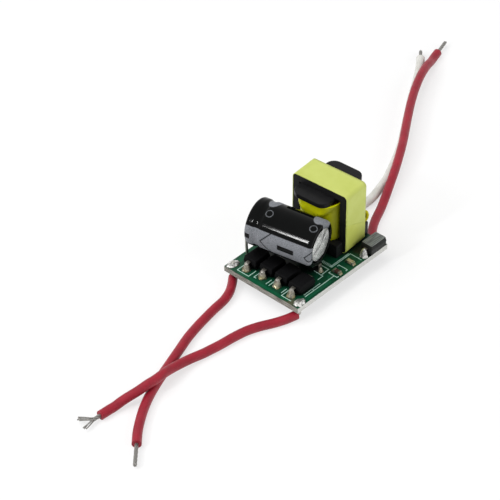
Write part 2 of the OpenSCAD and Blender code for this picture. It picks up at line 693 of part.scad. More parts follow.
module edge_capacitor(i) {
    color("saddlebrown") on_top(edge_chips[i]) chip_body(chip_l, chip_w, chip_h);
}
module under_capacitor() {
    color("saddlebrown") underneath(under_chips[0]) chip_body(chip_l, chip_w, chip_h);
}
module under_resistor(i) {
    color("#252525") underneath(under_resistors[i]) chip_body(resistor_l, resistor_w, resistor_h);
}
module chip_ends() {
    color("silver") {
        for (place = edge_chips) on_top(place) chip_caps(chip_l, chip_w, chip_h);
        for (place = under_chips) underneath(place) chip_caps(chip_l, chip_w, chip_h);
        for (place = under_resistors) underneath(place) chip_caps(resistor_l, resistor_w, resistor_h);
    }
}
module controller_ic() {
    color("#282828") underneath(ic_place) moulded(ic_w, ic_l, ic_lift, ic_h, ic_mid, ic_lead_t);
}
module controller_leads() {
    color("silver") underneath(ic_place) for (lead = ic_rows) rotate(lead[0]) translate([0, lead[1], 0])
        rotate([90, 0, 0]) linear_extrude(ic_lead_w, center = true) ic_lead_section();
}
module chip_solder() {
    color("lightgray") {
        for (place = edge_chips) on_top(place) chip_fillets(chip_l, chip_w, chip_h);
        for (place = under_chips) underneath(place) chip_fillets(chip_l, chip_w, chip_h);
        for (place = under_resistors) underneath(place) chip_fillets(resistor_l, resistor_w, resistor_h);
        underneath(ic_place) for (lead = ic_rows) rotate(lead[0])
            translate([ic_w / 2 + ic_lead_out, lead[1], 0]) rotate([90, 0, 0])
                linear_extrude(ic_lead_w, center = true) fillet(chip_toe, ic_lead_t);
    }
}

module pin_joint(d, climb) {
    rotate_extrude() translate([d / 2 + fit, 0]) fillet(joint_reach, climb);
}
module pin_solder() {
    color("lightgray") {
        for (pin = pins) underneath([each on_board(pin), 0]) pin_joint(pin_d, joint_h);
        for (lead = cap_leads) underneath([each cap_hole(lead), 0]) pin_joint(cap_lead_d, joint_h);
    }
}
module pad_dome(r) {
    ball = (r * r + dome_h * dome_h) / (2 * dome_h);
    rotate_extrude() intersection() {
        translate([0, dome_h - ball]) circle(ball);
        translate([strand_d / 2 + fit, 0]) square([r, dome_h]);
    }
}
module wire_solder() {
    color("lightgray") for (w = [0 : len(wire_pads) - 1]) {
        on_top([each wire_pads[w], 0]) pad_dome(dome_radii[w]);
        underneath([each wire_pads[w], 0]) pin_joint(strand_d, pad_joint_h);
    }
}

// Bare end of a wire at the board: up through its hole from the cut end of the insulation
module wire_tail(w) {
    start = wire_routes[w][0];
    low = wire_d / 2;
    translate([each wire_pads[w], 0]) rotate(atan2(start[1], start[0])) {
        translate([0, 0, low + tail_bend])
            cylinder(h = board_top + dome_h + tail_out - low - tail_bend, d = strand_d);
        translate([tail_bend, 0, low + tail_bend]) rotate([90, 0, 0]) rotate(180) rotate_extrude(angle = 90)
            translate([tail_bend, 0]) circle(d = strand_d);
        translate([tail_bend, 0, low]) rotate([0, 90, 0])
            cylinder(h = norm([start[0], start[1]]) - tail_bend, d = strand_d);
    }
}
module wire_tails() {
    color("silver") for (w = [0 : len(wire_pads) - 1]) wire_tail(w);
}
module wire(w) {
    color(wire_colors[w]) tube(wire_points(w), wire_d, wire_sides, [0, 0, 1]);
}
module wire_tip(w) {
    color("silver") translate(wire_end(w)) rotate(wire_heading(w)) {
        rotate([0, 90, 0]) cylinder(h = tip_lengths[w], d = strand_d);
        if (w == frayed_wire) for (turn = [fray_turn_1, fray_turn_2])
            translate([fray_from - fray_d / 2, 0, 0]) rotate([0, 90, turn]) cylinder(h = fray_l, d = fray_d);
    }
}

circuit_board();
for (i = [1 : bridge_count]) {
    bridge_diode(i);
    bridge_diode_leads(i);
}
output_diode();
output_diode_leads();
snubber_diode();
snubber_diode_leads();
capacitor_can();
capacitor_sleeve();
capacitor_bung();
capacitor_leads();
core_upper();
core_lower();
bobbin();
transformer_pins();
copper_winding();
winding_tape();
core_tape();
for (i = [1 : len(edge_chips)]) {
    edge_capacitor(i - 1);
}
under_capacitor();  // chip_capacitor_3
for (i = [1 : len(under_resistors)]) {
    under_resistor(i - 1);
}
chip_ends();
controller_ic();
controller_leads();
diode_solder();
chip_solder();
pin_solder();
wire_solder();
wire_tails();
for (w = [0 : len(wire_names) - 1]) {
    wire(w);
    wire_tip(w);
}
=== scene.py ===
"""Looks of an open-frame LED driver: camera, leads, print, solder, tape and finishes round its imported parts.

Points and sizes are in millimetres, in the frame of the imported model, unless a name says otherwise.
"""
import random
from math import copysign, cos, exp, hypot, pi, radians, sin, sqrt

import bpy
from mathutils import Matrix, Vector, geometry, noise


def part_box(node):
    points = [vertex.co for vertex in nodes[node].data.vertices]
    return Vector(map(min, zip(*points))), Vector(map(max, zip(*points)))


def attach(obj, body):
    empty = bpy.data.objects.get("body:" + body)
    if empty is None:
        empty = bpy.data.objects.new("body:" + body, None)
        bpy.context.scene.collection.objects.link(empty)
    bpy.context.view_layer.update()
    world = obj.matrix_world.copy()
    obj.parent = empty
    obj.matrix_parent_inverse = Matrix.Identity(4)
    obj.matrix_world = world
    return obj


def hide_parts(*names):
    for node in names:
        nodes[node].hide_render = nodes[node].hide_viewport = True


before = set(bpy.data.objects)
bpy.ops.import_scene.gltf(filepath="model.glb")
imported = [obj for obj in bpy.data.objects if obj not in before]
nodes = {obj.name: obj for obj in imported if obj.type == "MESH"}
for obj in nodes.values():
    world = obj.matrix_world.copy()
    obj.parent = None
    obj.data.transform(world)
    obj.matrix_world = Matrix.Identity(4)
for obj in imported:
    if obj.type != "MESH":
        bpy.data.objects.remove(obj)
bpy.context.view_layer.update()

MM = 0.001
BODY = "root"
SEED = 7
FULL_TURN = 2 * pi
QUARTER = pi / 2
UP = Vector((0, 0, 1))
chance = random.Random(SEED)


def node_box(name):
    """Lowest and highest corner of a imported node."""
    low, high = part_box(name)
    return low / MM, high / MM


def node_middle(name):
    """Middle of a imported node's box."""
    low, high = node_box(name)
    return (low + high) / 2


def new_object(name, data):
    """Object for some data, linked into the scene."""
    made = bpy.data.objects.new(name, data)
    bpy.context.scene.collection.objects.link(made)
    return made


def clamp(value):
    """Value held between 0 and 1."""
    return max(0.0, min(1.0, value))


def near(value, period):
    """Signed distance of a value from the nearest whole period."""
    return (value + period / 2) % period - period / 2


def turns(count):
    """Angles at even steps round a full turn."""
    return [FULL_TURN * k / count for k in range(count)]


def quarter(steps):
    """Angles at even steps from zero to a right angle, with both ends."""
    return [QUARTER * k / steps for k in range(steps + 1)]


def neighbours(path, i):
    """Points before and after one of a line's points, or that point itself at an end."""
    return path[max(i - 1, 0)], path[min(i + 1, len(path) - 1)]


def heading(path, i):
    """Direction of a line of points at one of them."""
    before, after = neighbours(path, i)
    return (after - before).normalized()


def ripple(point, size, depth):
    """Small seeded offset at a point, of a feature size and depth."""
    return depth * noise.noise(Vector(point) / size + Vector((SEED, 0, 0)))


# Camera: the photograph's viewpoint, worked out from the board's corners
CAMERA_AZIMUTH = radians(-47.363)
CAMERA_ELEVATION = radians(39.203)
CAMERA_ROLL = radians(-0.216)
CAMERA_TARGET = Vector((-6.384, 9.335, 3.7))
CAMERA_DISTANCE = 476.6
CAMERA_LENS = 171.855
CAMERA_SENSOR = 36
CAMERA_CLIP_M = (0.01, 50)


def make_camera():
    """Places the camera on its line of sight, turned by its small roll."""
    turn = (Matrix.Rotation(CAMERA_AZIMUTH, 4, "Z") @ Matrix.Rotation(QUARTER - CAMERA_ELEVATION, 4, "X")
            @ Matrix.Rotation(CAMERA_ROLL, 4, "Z"))
    back = Matrix.Translation((0, 0, CAMERA_DISTANCE * MM))
    data = bpy.data.cameras.new("camera")
    data.lens = CAMERA_LENS
    data.sensor_width = CAMERA_SENSOR
    data.clip_start, data.clip_end = CAMERA_CLIP_M
    camera = new_object("camera", data)
    camera.matrix_world = Matrix.Translation(CAMERA_TARGET * MM) @ turn @ back
    bpy.context.scene.camera = camera


make_camera()
bpy.context.scene.view_settings.view_transform = "Standard"


# Finishes: each one is a principled shader whose colour, gloss and relief follow noise
NOISE_DETAIL = 3.0
SOFT_ENDS = (0.3, 0.7)
CRISP_ENDS = (0.35, 0.65)
GAP_ENDS = (0.3, 0.62)
GAP_SAMPLES = 8
GAP_DARK = 0.2
COLOR_VARY = 0.12
GLOSS_VARY = 0.15
EVEN = (1, 1, 1)
LEVEL_LINES = (14, 14, 1)
FLUX_RISE = 1.5


def linear(red, green, blue):
    """Linear colour of an sRGB colour given from 0 to 255."""
    def channel(value):
        share = value / 255
        return share / 12.92 if share <= 0.04045 else ((share + 0.055) / 1.055) ** 2.4
    return channel(red), channel(green), channel(blue), 1.0


def shaded(color, share):
    """A colour made darker or lighter by a share."""
    return tuple(channel * share for channel in color[:3]) + (1.0,)


def fill(tree, node, inputs):
    """Links a node's inputs, or sets them to plain values."""
    for key, value in inputs.items():
        if isinstance(value, bpy.types.NodeSocket):
            tree.links.new(value, node.inputs[key])
        else:
            node.inputs[key].default_value = value


def add_node(tree, kind, inputs=None, **settings):
    """New node of a tree, with its settings and inputs."""
    made = tree.nodes.new(kind)
    for key, value in settings.items():
        setattr(made, key, value)
    fill(tree, made, inputs or {})
    return made


class Finish:
    """A material's node tree, with short calls for the nodes that the finishes share."""

    def __init__(self, name, metallic=0.0, specular=0.5):
        self.material = bpy.data.materials.new(name)
        self.material.use_nodes = True
        self.tree = self.material.node_tree
        self.shader = self.tree.nodes["Principled BSDF"]
        fill(self.tree, self.shader, {"Metallic": metallic, "Specular IOR Level": specular})
        self.place = self.node("ShaderNodeTexCoord").outputs["Object"]

    def node(self, kind, inputs=None, **settings):
        return add_node(self.tree, kind, inputs, **settings)

    def math(self, operation, first, second=0.0):
        return self.node("ShaderNodeMath", {0: first, 1: second}, operation=operation).outputs[0]

    def ramp(self, value, ends, to=(0.0, 1.0)):
        """Value mapped from one range to another, held at its ends."""
        inputs = {"Value": value, "From Min": ends[0], "From Max": ends[1], "To Min": to[0], "To Max": to[1]}
        return self.node("ShaderNodeMapRange", inputs).outputs["Result"]

    def noise(self, size, stretch=EVEN):
        """Noise with features of a size, stretched along the axes."""
        scale = [1 / (size * MM * share) for share in stretch]
        turn = self.node("ShaderNodeMapping", {"Vector": self.place, "Scale": scale})
        inputs = {"Vector": turn.outputs["Vector"], "Scale": 1, "Detail": NOISE_DETAIL}
        return self.node("ShaderNodeTexNoise", inputs).outputs["Fac"]

    def cloud(self, size, to=(0.0, 1.0), ends=SOFT_ENDS, stretch=EVEN):
        """Noise of a size, drawn out to a range."""
        return self.ramp(self.noise(size, stretch), ends, to)

    def mix(self, share, first, second):
        inputs = {"Factor": share, "A": first, "B": second}
        return self.node("ShaderNodeMix", inputs, data_type="RGBA").outputs["Result"]

    def axis(self, source, letter):
        return self.node("ShaderNodeSeparateXYZ", {0: source}).outputs[letter]

    def facing(self, letter):
        """Part of the surface's own direction along an axis."""
        return self.axis(self.node("ShaderNodeNewGeometry").outputs["Normal"], letter)

    def along(self, letter):
        """How far the surface faces either way along an axis, from 0 to 1."""
        return self.math("ABSOLUTE", self.facing(letter))

    def attribute(self, name):
        return self.node("ShaderNodeAttribute", attribute_name=name).outputs["Fac"]

    def painted_gap_shade(self, value, reach, dark):
        """Painted shade: colour darkened by ambient occlusion in narrow gaps, where shade falls."""
        gaps = self.node("ShaderNodeAmbientOcclusion", {"Distance": reach * MM}, samples=GAP_SAMPLES)
        return self.mix(self.ramp(gaps.outputs["AO"], GAP_ENDS), dark, value)

    def done(self, color, gloss, height, depth):
        """Material with its colour, its gloss and a bump of a depth."""
        bump = self.node("ShaderNodeBump", {"Strength": 1, "Distance": depth * MM, "Height": height})
        inputs = {"Base Color": color, "Roughness": gloss, "Normal": bump.outputs["Normal"]}
        fill(self.tree, self.shader, inputs)
        return self.material


def plain(name, color, rough, size, grain, depth, gaps, metallic, specular):
    """Finish whose colour and gloss drift with noise, with a fine grain, and with painted shade in gaps of a
    reach.
    """
    made = Finish(name, metallic, specular)
    tone = made.mix(made.cloud(size), shaded(color, 1 - COLOR_VARY), shaded(color, 1 + COLOR_VARY))
    # painted shade: the colour darkens in narrow gaps, where shade falls
    if gaps:
        tone = made.painted_gap_shade(tone, gaps, shaded(color, GAP_DARK))
    gloss = made.cloud(size / 3, to=(rough * (1 - GLOSS_VARY), rough * (1 + GLOSS_VARY)))
    return made.done(tone, gloss, made.noise(grain), depth)


BOARD_LOW, BOARD_HIGH = node_box("circuit_board")
BOARD_TOP = BOARD_HIGH.z
BOARD_BOTTOM = BOARD_LOW.z
SPOT_RAGGED = 1.6
# Each spot: its place, the reach of its full and of its last trace, its strength and its colour; the first is
# a brown stain, the second a dark brown patch of painted shade between the tape and the output diode
STAINS_AND_SHADE = [
    (BOARD_LOW.x + 0.3, BOARD_LOW.y + 2.6, 1.6, 2.6, 0.75, linear(88, 84, 66)),
    # painted shade: dark brown patch between the tape and the output diode
    (8.4, -6.6, 1.5, 2.5, 0.85, linear(50, 42, 22)),
]


def board_finish():
    """Green resist on both faces with painted shade in its gaps, sawn ends and paler snapped sides whose
    colours are partly their own and partly painted light and shade, a brown stain, and a patch of painted
    shade.
    """
    made = Finish("board", specular=0.2)
    face = made.mix(made.cloud(size=3.5), linear(6, 54, 36), linear(11, 76, 49))
    edge = made.math("MULTIPLY", made.noise(size=0.8), SPOT_RAGGED * MM)
    for x, y, full, last, share, brown in STAINS_AND_SHADE:
        spot = Vector((x, y, BOARD_TOP)) * MM
        away = made.node("ShaderNodeVectorMath", {0: made.place, 1: spot}, operation="DISTANCE")
        ragged = made.math("ADD", away.outputs["Value"], edge)
        face = made.mix(made.ramp(ragged, ends=(full * MM, last * MM), to=(share, 0.0)), face, brown)
    layers = made.noise(size=0.16, stretch=(12, 12, 1))
    # sawn ends and snapped sides: partly their own colours, partly painted shade on the ends and painted light
    # where the sides are lit
    sawn_and_shaded = made.mix(made.ramp(layers, CRISP_ENDS), linear(98, 97, 90), linear(164, 163, 155))
    snapped_and_lit = made.mix(layers, linear(190, 190, 185), linear(222, 222, 218))
    rim = made.mix(made.ramp(made.along("Y"), ends=(0.5, 0.7)), sawn_and_shaded, snapped_and_lit)
    level = made.ramp(made.along("Z"), ends=(0.4, 0.6))
    # painted shade: the resist darkens in gaps between parts, where shade falls
    color = made.mix(level, rim, made.painted_gap_shade(face, reach=5, dark=linear(3, 12, 9)))
    gloss = made.ramp(level, ends=(0, 1), to=(0.75, 0.38))
    return made.done(color, gloss, made.noise(size=0.35), depth=0.012)


def streaked_finish():
    """Moulded black body whose top is painted a streaky grey as painted sheen of the reflected sky, with plain
    dark sides.
    """
    made = Finish("output_diode", specular=0.2)
    streaks = made.cloud(size=0.2, ends=CRISP_ENDS, stretch=(14, 1, 1))
    # painted sheen: the top's grey stands in for the sky's reflection on the lit top
    painted_top_sheen = made.mix(streaks, linear(80, 84, 83), linear(128, 132, 130))
    black = made.mix(made.noise(size=0.6), linear(16, 17, 16), linear(34, 36, 34))
    color = made.mix(made.ramp(made.facing("Z"), ends=(0.5, 0.9)), black, painted_top_sheen)
    gloss = made.ramp(streaks, ends=(0, 1), to=(0.6, 0.48))
    return made.done(color, gloss, made.noise(size=0.12), depth=0.01)


def sleeve_finish():
    """Glossy black film with light grey print where the mesh's ink says."""
    made = Finish("sleeve", specular=0.08)
    ink = made.attribute("ink")
    grey = made.mix(made.cloud(size=0.16, ends=CRISP_ENDS), linear(106, 109, 114), linear(142, 145, 150))
    black = made.mix(made.noise(size=2), linear(3, 4, 4), linear(8, 9, 9))
    gloss = made.ramp(ink, ends=(0, 1), to=(0.08, 0.5))
    return made.done(made.mix(ink, black, grey), gloss, made.noise(size=3), depth=0.004)


def bare_can_finish():
    """Bare aluminium, bright where the mesh says it is polished and darker where the mesh carries painted
    shade, with a fine sparkle.
    """
    made = Finish("bare_can", metallic=0.6)
    bright = made.mix(made.cloud(size=0.2, ends=CRISP_ENDS), linear(206, 208, 206), linear(255, 255, 255))
    # the dark colour is the dull hatched stripes and the painted shade in the wedge and the scores
    color = made.mix(made.attribute("polish_and_shade"), linear(44, 46, 46), bright)
    gloss = made.cloud(size=0.25, to=(0.2, 0.45), ends=CRISP_ENDS)
    return made.done(color, gloss, made.noise(size=0.25), depth=0.03)


def tape_finish(name, light, deep, stretch=LEVEL_LINES, sides=None):
    """Polyester tape with fine lines along its run, and with painted shade where it faces the sides."""
    made = Finish(name, specular=0.2)
    tone = made.mix(made.cloud(size=4), light, deep)
    if sides:
        # painted shade: the tape darkens where it faces the sides, as light falls off there
        tone = made.mix(made.ramp(made.along("Y"), ends=(0.35, 0.95), to=(0.0, 0.75)), tone, sides)
    return made.done(tone, made.cloud(size=1, to=(0.38, 0.55)), made.noise(0.5, stretch), depth=0.012)


def solder_finish(name, dull, bright, flux_share):
    """Solder with painted shade in its creases and a yellowish trace of flux low down."""
    made = Finish(name, metallic=0.75)
    silver = made.mix(made.cloud(size=0.45, ends=CRISP_ENDS), dull, bright)
    ends = (BOARD_TOP * MM, (BOARD_TOP + FLUX_RISE) * MM)
    low_down = made.ramp(made.axis(made.place, "Z"), ends, to=(flux_share, 0.0))
    flux = made.math("MULTIPLY", low_down, made.cloud(size=0.9, ends=(0.3, 0.6)))
    tone = made.mix(flux, silver, linear(138, 130, 78))
    # painted shade: the solder darkens in its creases and gaps, where shade falls
    color = made.painted_gap_shade(tone, reach=1.2, dark=shaded(dull, 0.3))
    return made.done(color, made.cloud(size=0.4, to=(0.22, 0.5)), made.noise(size=0.35), depth=0.05)


def wire_finish(name, light, deep):
    """Soft insulation with a faint handled bloom."""
    made = Finish(name, specular=0.35)
    color = made.mix(made.cloud(size=2.2), deep, light)
    return made.done(color, made.cloud(size=1.1, to=(0.36, 0.55)), made.noise(size=0.6), depth=0.03)


FINISHES = {
    "board": board_finish(),
    "output_diode": streaked_finish(),
    "sleeve": sleeve_finish(),
    "bare_can": bare_can_finish(),
    "solder": solder_finish("solder", linear(116, 113, 106), linear(176, 173, 165), 0.95),
    "bright_solder": solder_finish("bright_solder", linear(132, 132, 130), linear(244, 244, 242), 0.1),
    "lime": tape_finish("lime", linear(199, 208, 114), linear(191, 200, 102)),
    "lime_end": tape_finish("lime_end", linear(199, 207, 106), linear(190, 198, 92)),
    # amber: its side colour is painted shade
    "amber": tape_finish("amber", linear(222, 224, 16), linear(202, 204, 8), sides=linear(96, 98, 6)),
    "lead_out": tape_finish("lead_out", linear(206, 198, 24), linear(188, 180, 16), EVEN),
    "red": wire_finish("red", linear(154, 33, 49), linear(135, 25, 41)),
    "white": wire_finish("white", linear(224, 223, 218), linear(210, 209, 202)),
}
# Plain finishes: colour, roughness, drift size, grain size and depth, reach of the painted gap shade,
# metallic, specular
PLAIN_FINISHES = {
    "can": (linear(206, 207, 205), 0.35, 0.8, 0.3, 0.02, 0, 0.9, 0.5),
    # diode, dull_tin and trace carry painted shade in their gaps
    "diode": (linear(14, 14, 15), 0.6, 0.9, 0.12, 0.01, 4, 0, 0.08),
    "rubber": (linear(26, 26, 26), 0.8, 1.2, 0.3, 0.02, 0, 0, 0.2),
    "ferrite": (linear(25, 25, 26), 0.5, 0.8, 0.15, 0.01, 0, 0, 0.13),
    "bobbin": (linear(28, 28, 29), 0.32, 1.5, 0.4, 0.006, 0, 0, 0.08),
    "copper": (linear(184, 110, 62), 0.35, 0.6, 0.2, 0.02, 0, 1, 0.5),
    "brown_chip": (linear(66, 43, 38), 0.5, 0.5, 0.15, 0.01, 0, 0, 0.3),
    "tan_chip": (linear(178, 162, 128), 0.5, 0.5, 0.15, 0.01, 0, 0, 0.3),
    "glaze": (linear(24, 24, 26), 0.4, 0.7, 0.2, 0.006, 0, 0, 0.3),
    "tin": (linear(176, 174, 168), 0.36, 0.5, 0.2, 0.02, 0, 1, 0.5),
    "dull_tin": (linear(96, 93, 86), 0.45, 0.5, 0.2, 0.02, 2, 0.8, 0.5),
    "strand": (linear(150, 148, 144), 0.38, 0.6, 0.25, 0.01, 0, 0.9, 0.5),
    "print": (linear(176, 210, 196), 0.6, 0.5, 0.1, 0.004, 0, 0, 0.2),
    "trace": (linear(12, 80, 52), 0.36, 1.5, 0.3, 0.006, 5, 0, 0.2),
}
for name, settings in PLAIN_FINISHES.items():
    FINISHES[name] = plain(name, *settings)


# Shared shapes: pieces are made from points that are already in place
MITRE_LEAST = 0.4


class Shape:
    """Points and faces of one piece, added to a part at a time."""

    def __init__(self):
        self.points = []
        self.faces = []

    def loft(self, rings, closed=False):
        """Joins rings of equal length, and closes the loft into a tube or caps its ends."""
        start = len(self.points)
        count = len(rings[0])
        for ring in rings:
            self.points.extend(ring)
        for i in range(len(rings) if closed else len(rings) - 1):
            low = start + i * count
            high = start + (i + 1) % len(rings) * count
            for k in range(count):
                after = (k + 1) % count
                self.faces.append((low + k, low + after, high + after, high + k))
        if not closed:
            self.faces.append(tuple(start + k for k in reversed(range(count))))
            end = start + (len(rings) - 1) * count
            self.faces.append(tuple(end + k for k in range(count)))

    def sweep(self, path, radius, sides):
        """Round rod along a path, with a frame that turns as little as it can."""
        rings = []
        across = None
        for i, point in enumerate(path):
            ahead = heading(path, i)
            if across is None:
                across = ahead.orthogonal()
            across = (across - ahead * across.dot(ahead)).normalized()
            other = ahead.cross(across)
            spokes = [cos(a) * across + sin(a) * other for a in turns(sides)]
            rings.append([point + radius * spoke for spoke in spokes])
        self.loft(rings)

    def ribbon(self, path, width, low, high):
        """Flat strip along a line of x, y points, with mitred corners, from one height to another."""
        line = [Vector((x, y, 0)) for x, y in path]
        rings = []
        for i, point in enumerate(line):
            before = (point - line[i - 1]).normalized() if i else None
            after = (line[i + 1] - point).normalized() if i < len(line) - 1 else None
            before = before or after
            after = after or before
            ahead = (before + after).normalized()
            side = Vector((-ahead.y, ahead.x, 0)) * (width / 2 / max(MITRE_LEAST, ahead.dot(after)))
            left = point - side
            right = point + side
            rings.append([left + UP * low, right + UP * low, right + UP * high, left + UP * high])
        self.loft(rings)


def lofted(rings, closed=False):
    """Shape of one loft."""
    shape = Shape()
    shape.loft(rings, closed)
    return shape


def settle(made, finish, replaced):
    """Gives a piece its finish, lets it ride on the board, and hides the imported nodes that it replaces."""
    made.data.materials.append(FINISHES[finish])
    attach(made, BODY)
    if replaced:
        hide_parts(*replaced)
    return made


def piece(name, shape, finish, replaced=(), smooth=True):
    """Makes a mesh piece from a shape."""
    mesh = bpy.data.meshes.new(name)
    mesh.from_pydata([Vector(point) * MM for point in shape.points], [], shape.faces)
    mesh.polygons.foreach_set("use_smooth", [smooth] * len(mesh.polygons))
    return settle(new_object(name, mesh), finish, replaced)


def write_values(made, name, values):
    """Writes a value for each point to a piece's mesh, for its finish to read."""
    made.data.attributes.new(name, "FLOAT", "POINT").data.foreach_set("value", values)


# Leads: four free wires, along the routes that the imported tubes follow
WIRE_D = 1.9
CORD_STEPS = 6
LEADS = {
    "input_wire_1": {
        "finish": "red", "length": 51.6, "pad": (-11.9, 8.75), "tip": 5.6,
        "route": [(-0.48, -0.36, 0), (-2.4, -1.8, 0), (-4.6, -3.1, 0), (-7, -3.9, 0), (-10, -4.3, 0),
                  (-13, -4.8, 0), (-16.5, -5.5, 0), (-20, -6.4, 0), (-23.5, -7.6, 0), (-27, -8.8, 0),
                  (-30.5, -10, 0), (-34, -11.3, 0), (-37, -12.6, 0), (-40, -14.2, 0), (-42.5, -15.8, 0),
                  (-45, -17.6, 0), (-47.5, -19.8, 0)]},
    "input_wire_2": {
        "finish": "red", "length": 47.6, "pad": (-11.9, -8.75), "tip": 1.6,
        "route": [(-0.6, 0.15, 0), (-2.8, 0.7, 0), (-5.5, 1.8, 0), (-8, 3.1, 0), (-10.6, 4.1, 0),
                  (-13.6, 4.7, 0), (-17, 5.1, 0), (-20.5, 5.7, 0), (-24, 6.3, 0.3), (-27.5, 6.5, 0.8),
                  (-30.5, 6.3, 1.45), (-33, 5.9, 1.95), (-35.5, 6, 1.95), (-38, 6.5, 1.4), (-41, 7.4, 0.6),
                  (-43.8, 7.9, 0), (-46.6, 8.1, 0)]},
    "output_wire_positive": {
        "finish": "red", "length": 72.2, "pad": (12.3, -6.4), "tip": 4.6,
        "route": [(0.48, 0.36, 0), (3.2, 2.4, 0), (5.7, 4.2, 0), (8.2, 5.6, 0), (11.2, 6.9, 0),
                  (14.7, 8.5, 0.35), (18.7, 10.4, 1.1), (22.7, 12.4, 1.6), (26.7, 14.6, 1.9),
                  (30.7, 17, 1.95), (34.7, 19.6, 1.95), (38.7, 22.2, 1.95), (42.7, 24.7, 1.95),
                  (46.7, 27, 1.95), (50.2, 28.8, 1.95), (53.7, 30.4, 1.7), (57.2, 31.9, 1), (60.7, 33.3, 0),
                  (63.7, 34.2, 0)]},
    "output_wire_negative": {
        "finish": "white", "length": 66.3, "pad": (12.3, 8.85), "tip": 2.8,
        "route": [(0.6, -0.3, 0), (2.8, -1.4, 0), (5.2, -2.8, 0), (7.7, -4, 0), (10.4, -4.5, 0),
                  (13.2, -4.4, 0), (16.2, -3.7, 0), (20.2, -2.5, 0), (24.2, -0.8, 0), (28.2, 1.1, 0),
                  (32.2, 3.3, 0), (35.7, 5.5, 0), (39.2, 7.7, 0), (42.7, 9.9, 0), (46.2, 12.1, 0),
                  (50.2, 14.4, 0), (54.2, 16.8, 0), (57.2, 18.7, 0), (59.4, 20.4, 0)]},
}
STRAND_D = 0.8
STRAND_COUNT = 7
STRAND_PITCH = 6.5
STRAND_SIDES = 8
STRAND_FILL = 0.97
STRAND_UNEVEN = 0.25
TIP_SEAT = 0.6
TIP_STEPS = 16
FRAY_WIRE = "input_wire_2"
FRAY_L = 3.4
FRAY_LEAST = 0.8
FRAY_STEPS = 8
FRAY_TURNS = (radians(-44), radians(14))
FRAY_SPREAD = 0.16
FRAY_SINK = 0.6
FRAY_WAVE = 0.12
FRAY_WAVES = 3


def lead_points(lead):
    """Middle line of a lead, from its pad to the end of its insulation."""
    x, y = lead["pad"]
    return [Vector((x + dx, y + dy, WIRE_D / 2 + lift)) for dx, dy, lift in lead["route"]]


def lead_heading(points, i):
    """Direction of a lead at one of its points, level where its height turns."""
    before, after = neighbours(points, i)
    way = after - before
    if (points[i].z - before.z) * (after.z - points[i].z) <= 0:
        way.z = 0
    return way.normalized()


def make_insulation(name, lead):
    """Smooth tube of one spline along the lead's points."""
    points = lead_points(lead)
    curve = bpy.data.curves.new(name + "_cord", "CURVE")
    curve.dimensions = "3D"
    curve.bevel_depth = WIRE_D / 2 * MM
    curve.bevel_resolution = CORD_STEPS
    curve.resolution_u = CORD_STEPS
    curve.use_fill_caps = True
    spline = curve.splines.new("BEZIER")
    spline.bezier_points.add(len(points) - 1)
    for i, (knot, point) in enumerate(zip(spline.bezier_points, points)):
        before, after = neighbours(points, i)
        way = lead_heading(points, i)
        back = (point - before).length / 3
        ahead = (after - point).length / 3
        knot.handle_left_type = "FREE"
        knot.handle_right_type = "FREE"
        knot.co = point * MM
        knot.handle_left = (point - way * (back or ahead)) * MM
        knot.handle_right = (point + way * (ahead or back)) * MM
    return settle(new_object(name + "_cord", curve), lead["finish"], [name])


def frayed_part(start, ahead, level, index):
    """Rest of a strand that bends aside from its bundle."""
    bend = FRAY_TURNS[index % 2] + FRAY_SPREAD * (chance.random() - 0.5)
    out = cos(bend) * ahead + sin(bend) * level
    length = FRAY_L * (FRAY_LEAST + (1 - FRAY_LEAST) * chance.random())
    sink = (start.z - WIRE_D / 2) * FRAY_SINK
    path = []
    for k in range(1, FRAY_STEPS + 1):
        share = k / FRAY_STEPS
        wave = FRAY_WAVE * sin(FRAY_WAVES * share + index)
        path.append(start + out * length * share - UP * sink * share + level * wave)
    return path


def make_tip(name, lead):
    """Bare twisted strands past the end of the insulation, parted where the lead is frayed."""
    points = lead_points(lead)
    end = points[-1]
    ahead = heading(points, len(points) - 1)
    level = Vector((-ahead.y, ahead.x, 0))
    thick = STRAND_D / 6
    shape = Shape()
    places = [(0.0, 0.0)] + [(STRAND_D / 2 - thick, turn) for turn in turns(STRAND_COUNT - 1)]
    for index, (radius, turn) in enumerate(places):
        reach = lead["tip"] - STRAND_UNEVEN * chance.random()
        path = []
        for k in range(TIP_STEPS + 1):
            run = -TIP_SEAT + (reach + TIP_SEAT) * k / TIP_STEPS
            angle = turn + FULL_TURN * run / STRAND_PITCH
            path.append(end + ahead * run + radius * (cos(angle) * level + sin(angle) * UP))
        if name == FRAY_WIRE:
            path += frayed_part(path[-1], ahead, level, index)
        shape.sweep(path, thick * STRAND_FILL, STRAND_SIDES)
    return piece(name + "_strands", shape, "strand", [name + "_tip"])


for lead_name, lead in LEADS.items():
    cord = make_insulation(lead_name, lead)
    strands = make_tip(lead_name, lead)


# Capacitor: printed shrink sleeve over the can
CAP_TURN = radians(12.3)
CAP_TILT = radians(1.7)
CAP_L = 14.8
SLEEVE_R = 4.95
SLEEVE_T = 0.13
SLEEVE_ROUND = 0.7
SLEEVE_ROUND_STEPS = 8
SLEEVE_SIDES = 240
SLEEVE_WAVE = 0.004
SLEEVE_WAVE_SIZE = 4.5
INNER_STEP = 3
BARE_R = 3.5
GROOVE_AT = CAP_L - 2.6
GROOVE_DEEP = 0.24
GROOVE_W = 0.72
BAND_MIDDLE = radians(-2.8)
BAND_HALF = radians(27.5)
PRINT_PERIOD = 9.9
DASH_AT = 5.3
DASH_L = 3.65
DASH_W = 1.2
ARROW_AT = 10.95
ARROW_SLOPE = 0.88
ARROW_LINE = 0.3
INK_SOFT = 0.1
# Each round field: its turn in degrees, its height, and half its width and height
FIELDS = [(118, 11.3, 2.6, 1.25), (118, 1.1, 2.6, 1.5)]
# Each ring: its turn in degrees and its height
RINGS = [(68, 10.7), (72, 1.05)]
RING_R = 0.74
RING_LINE = 0.1

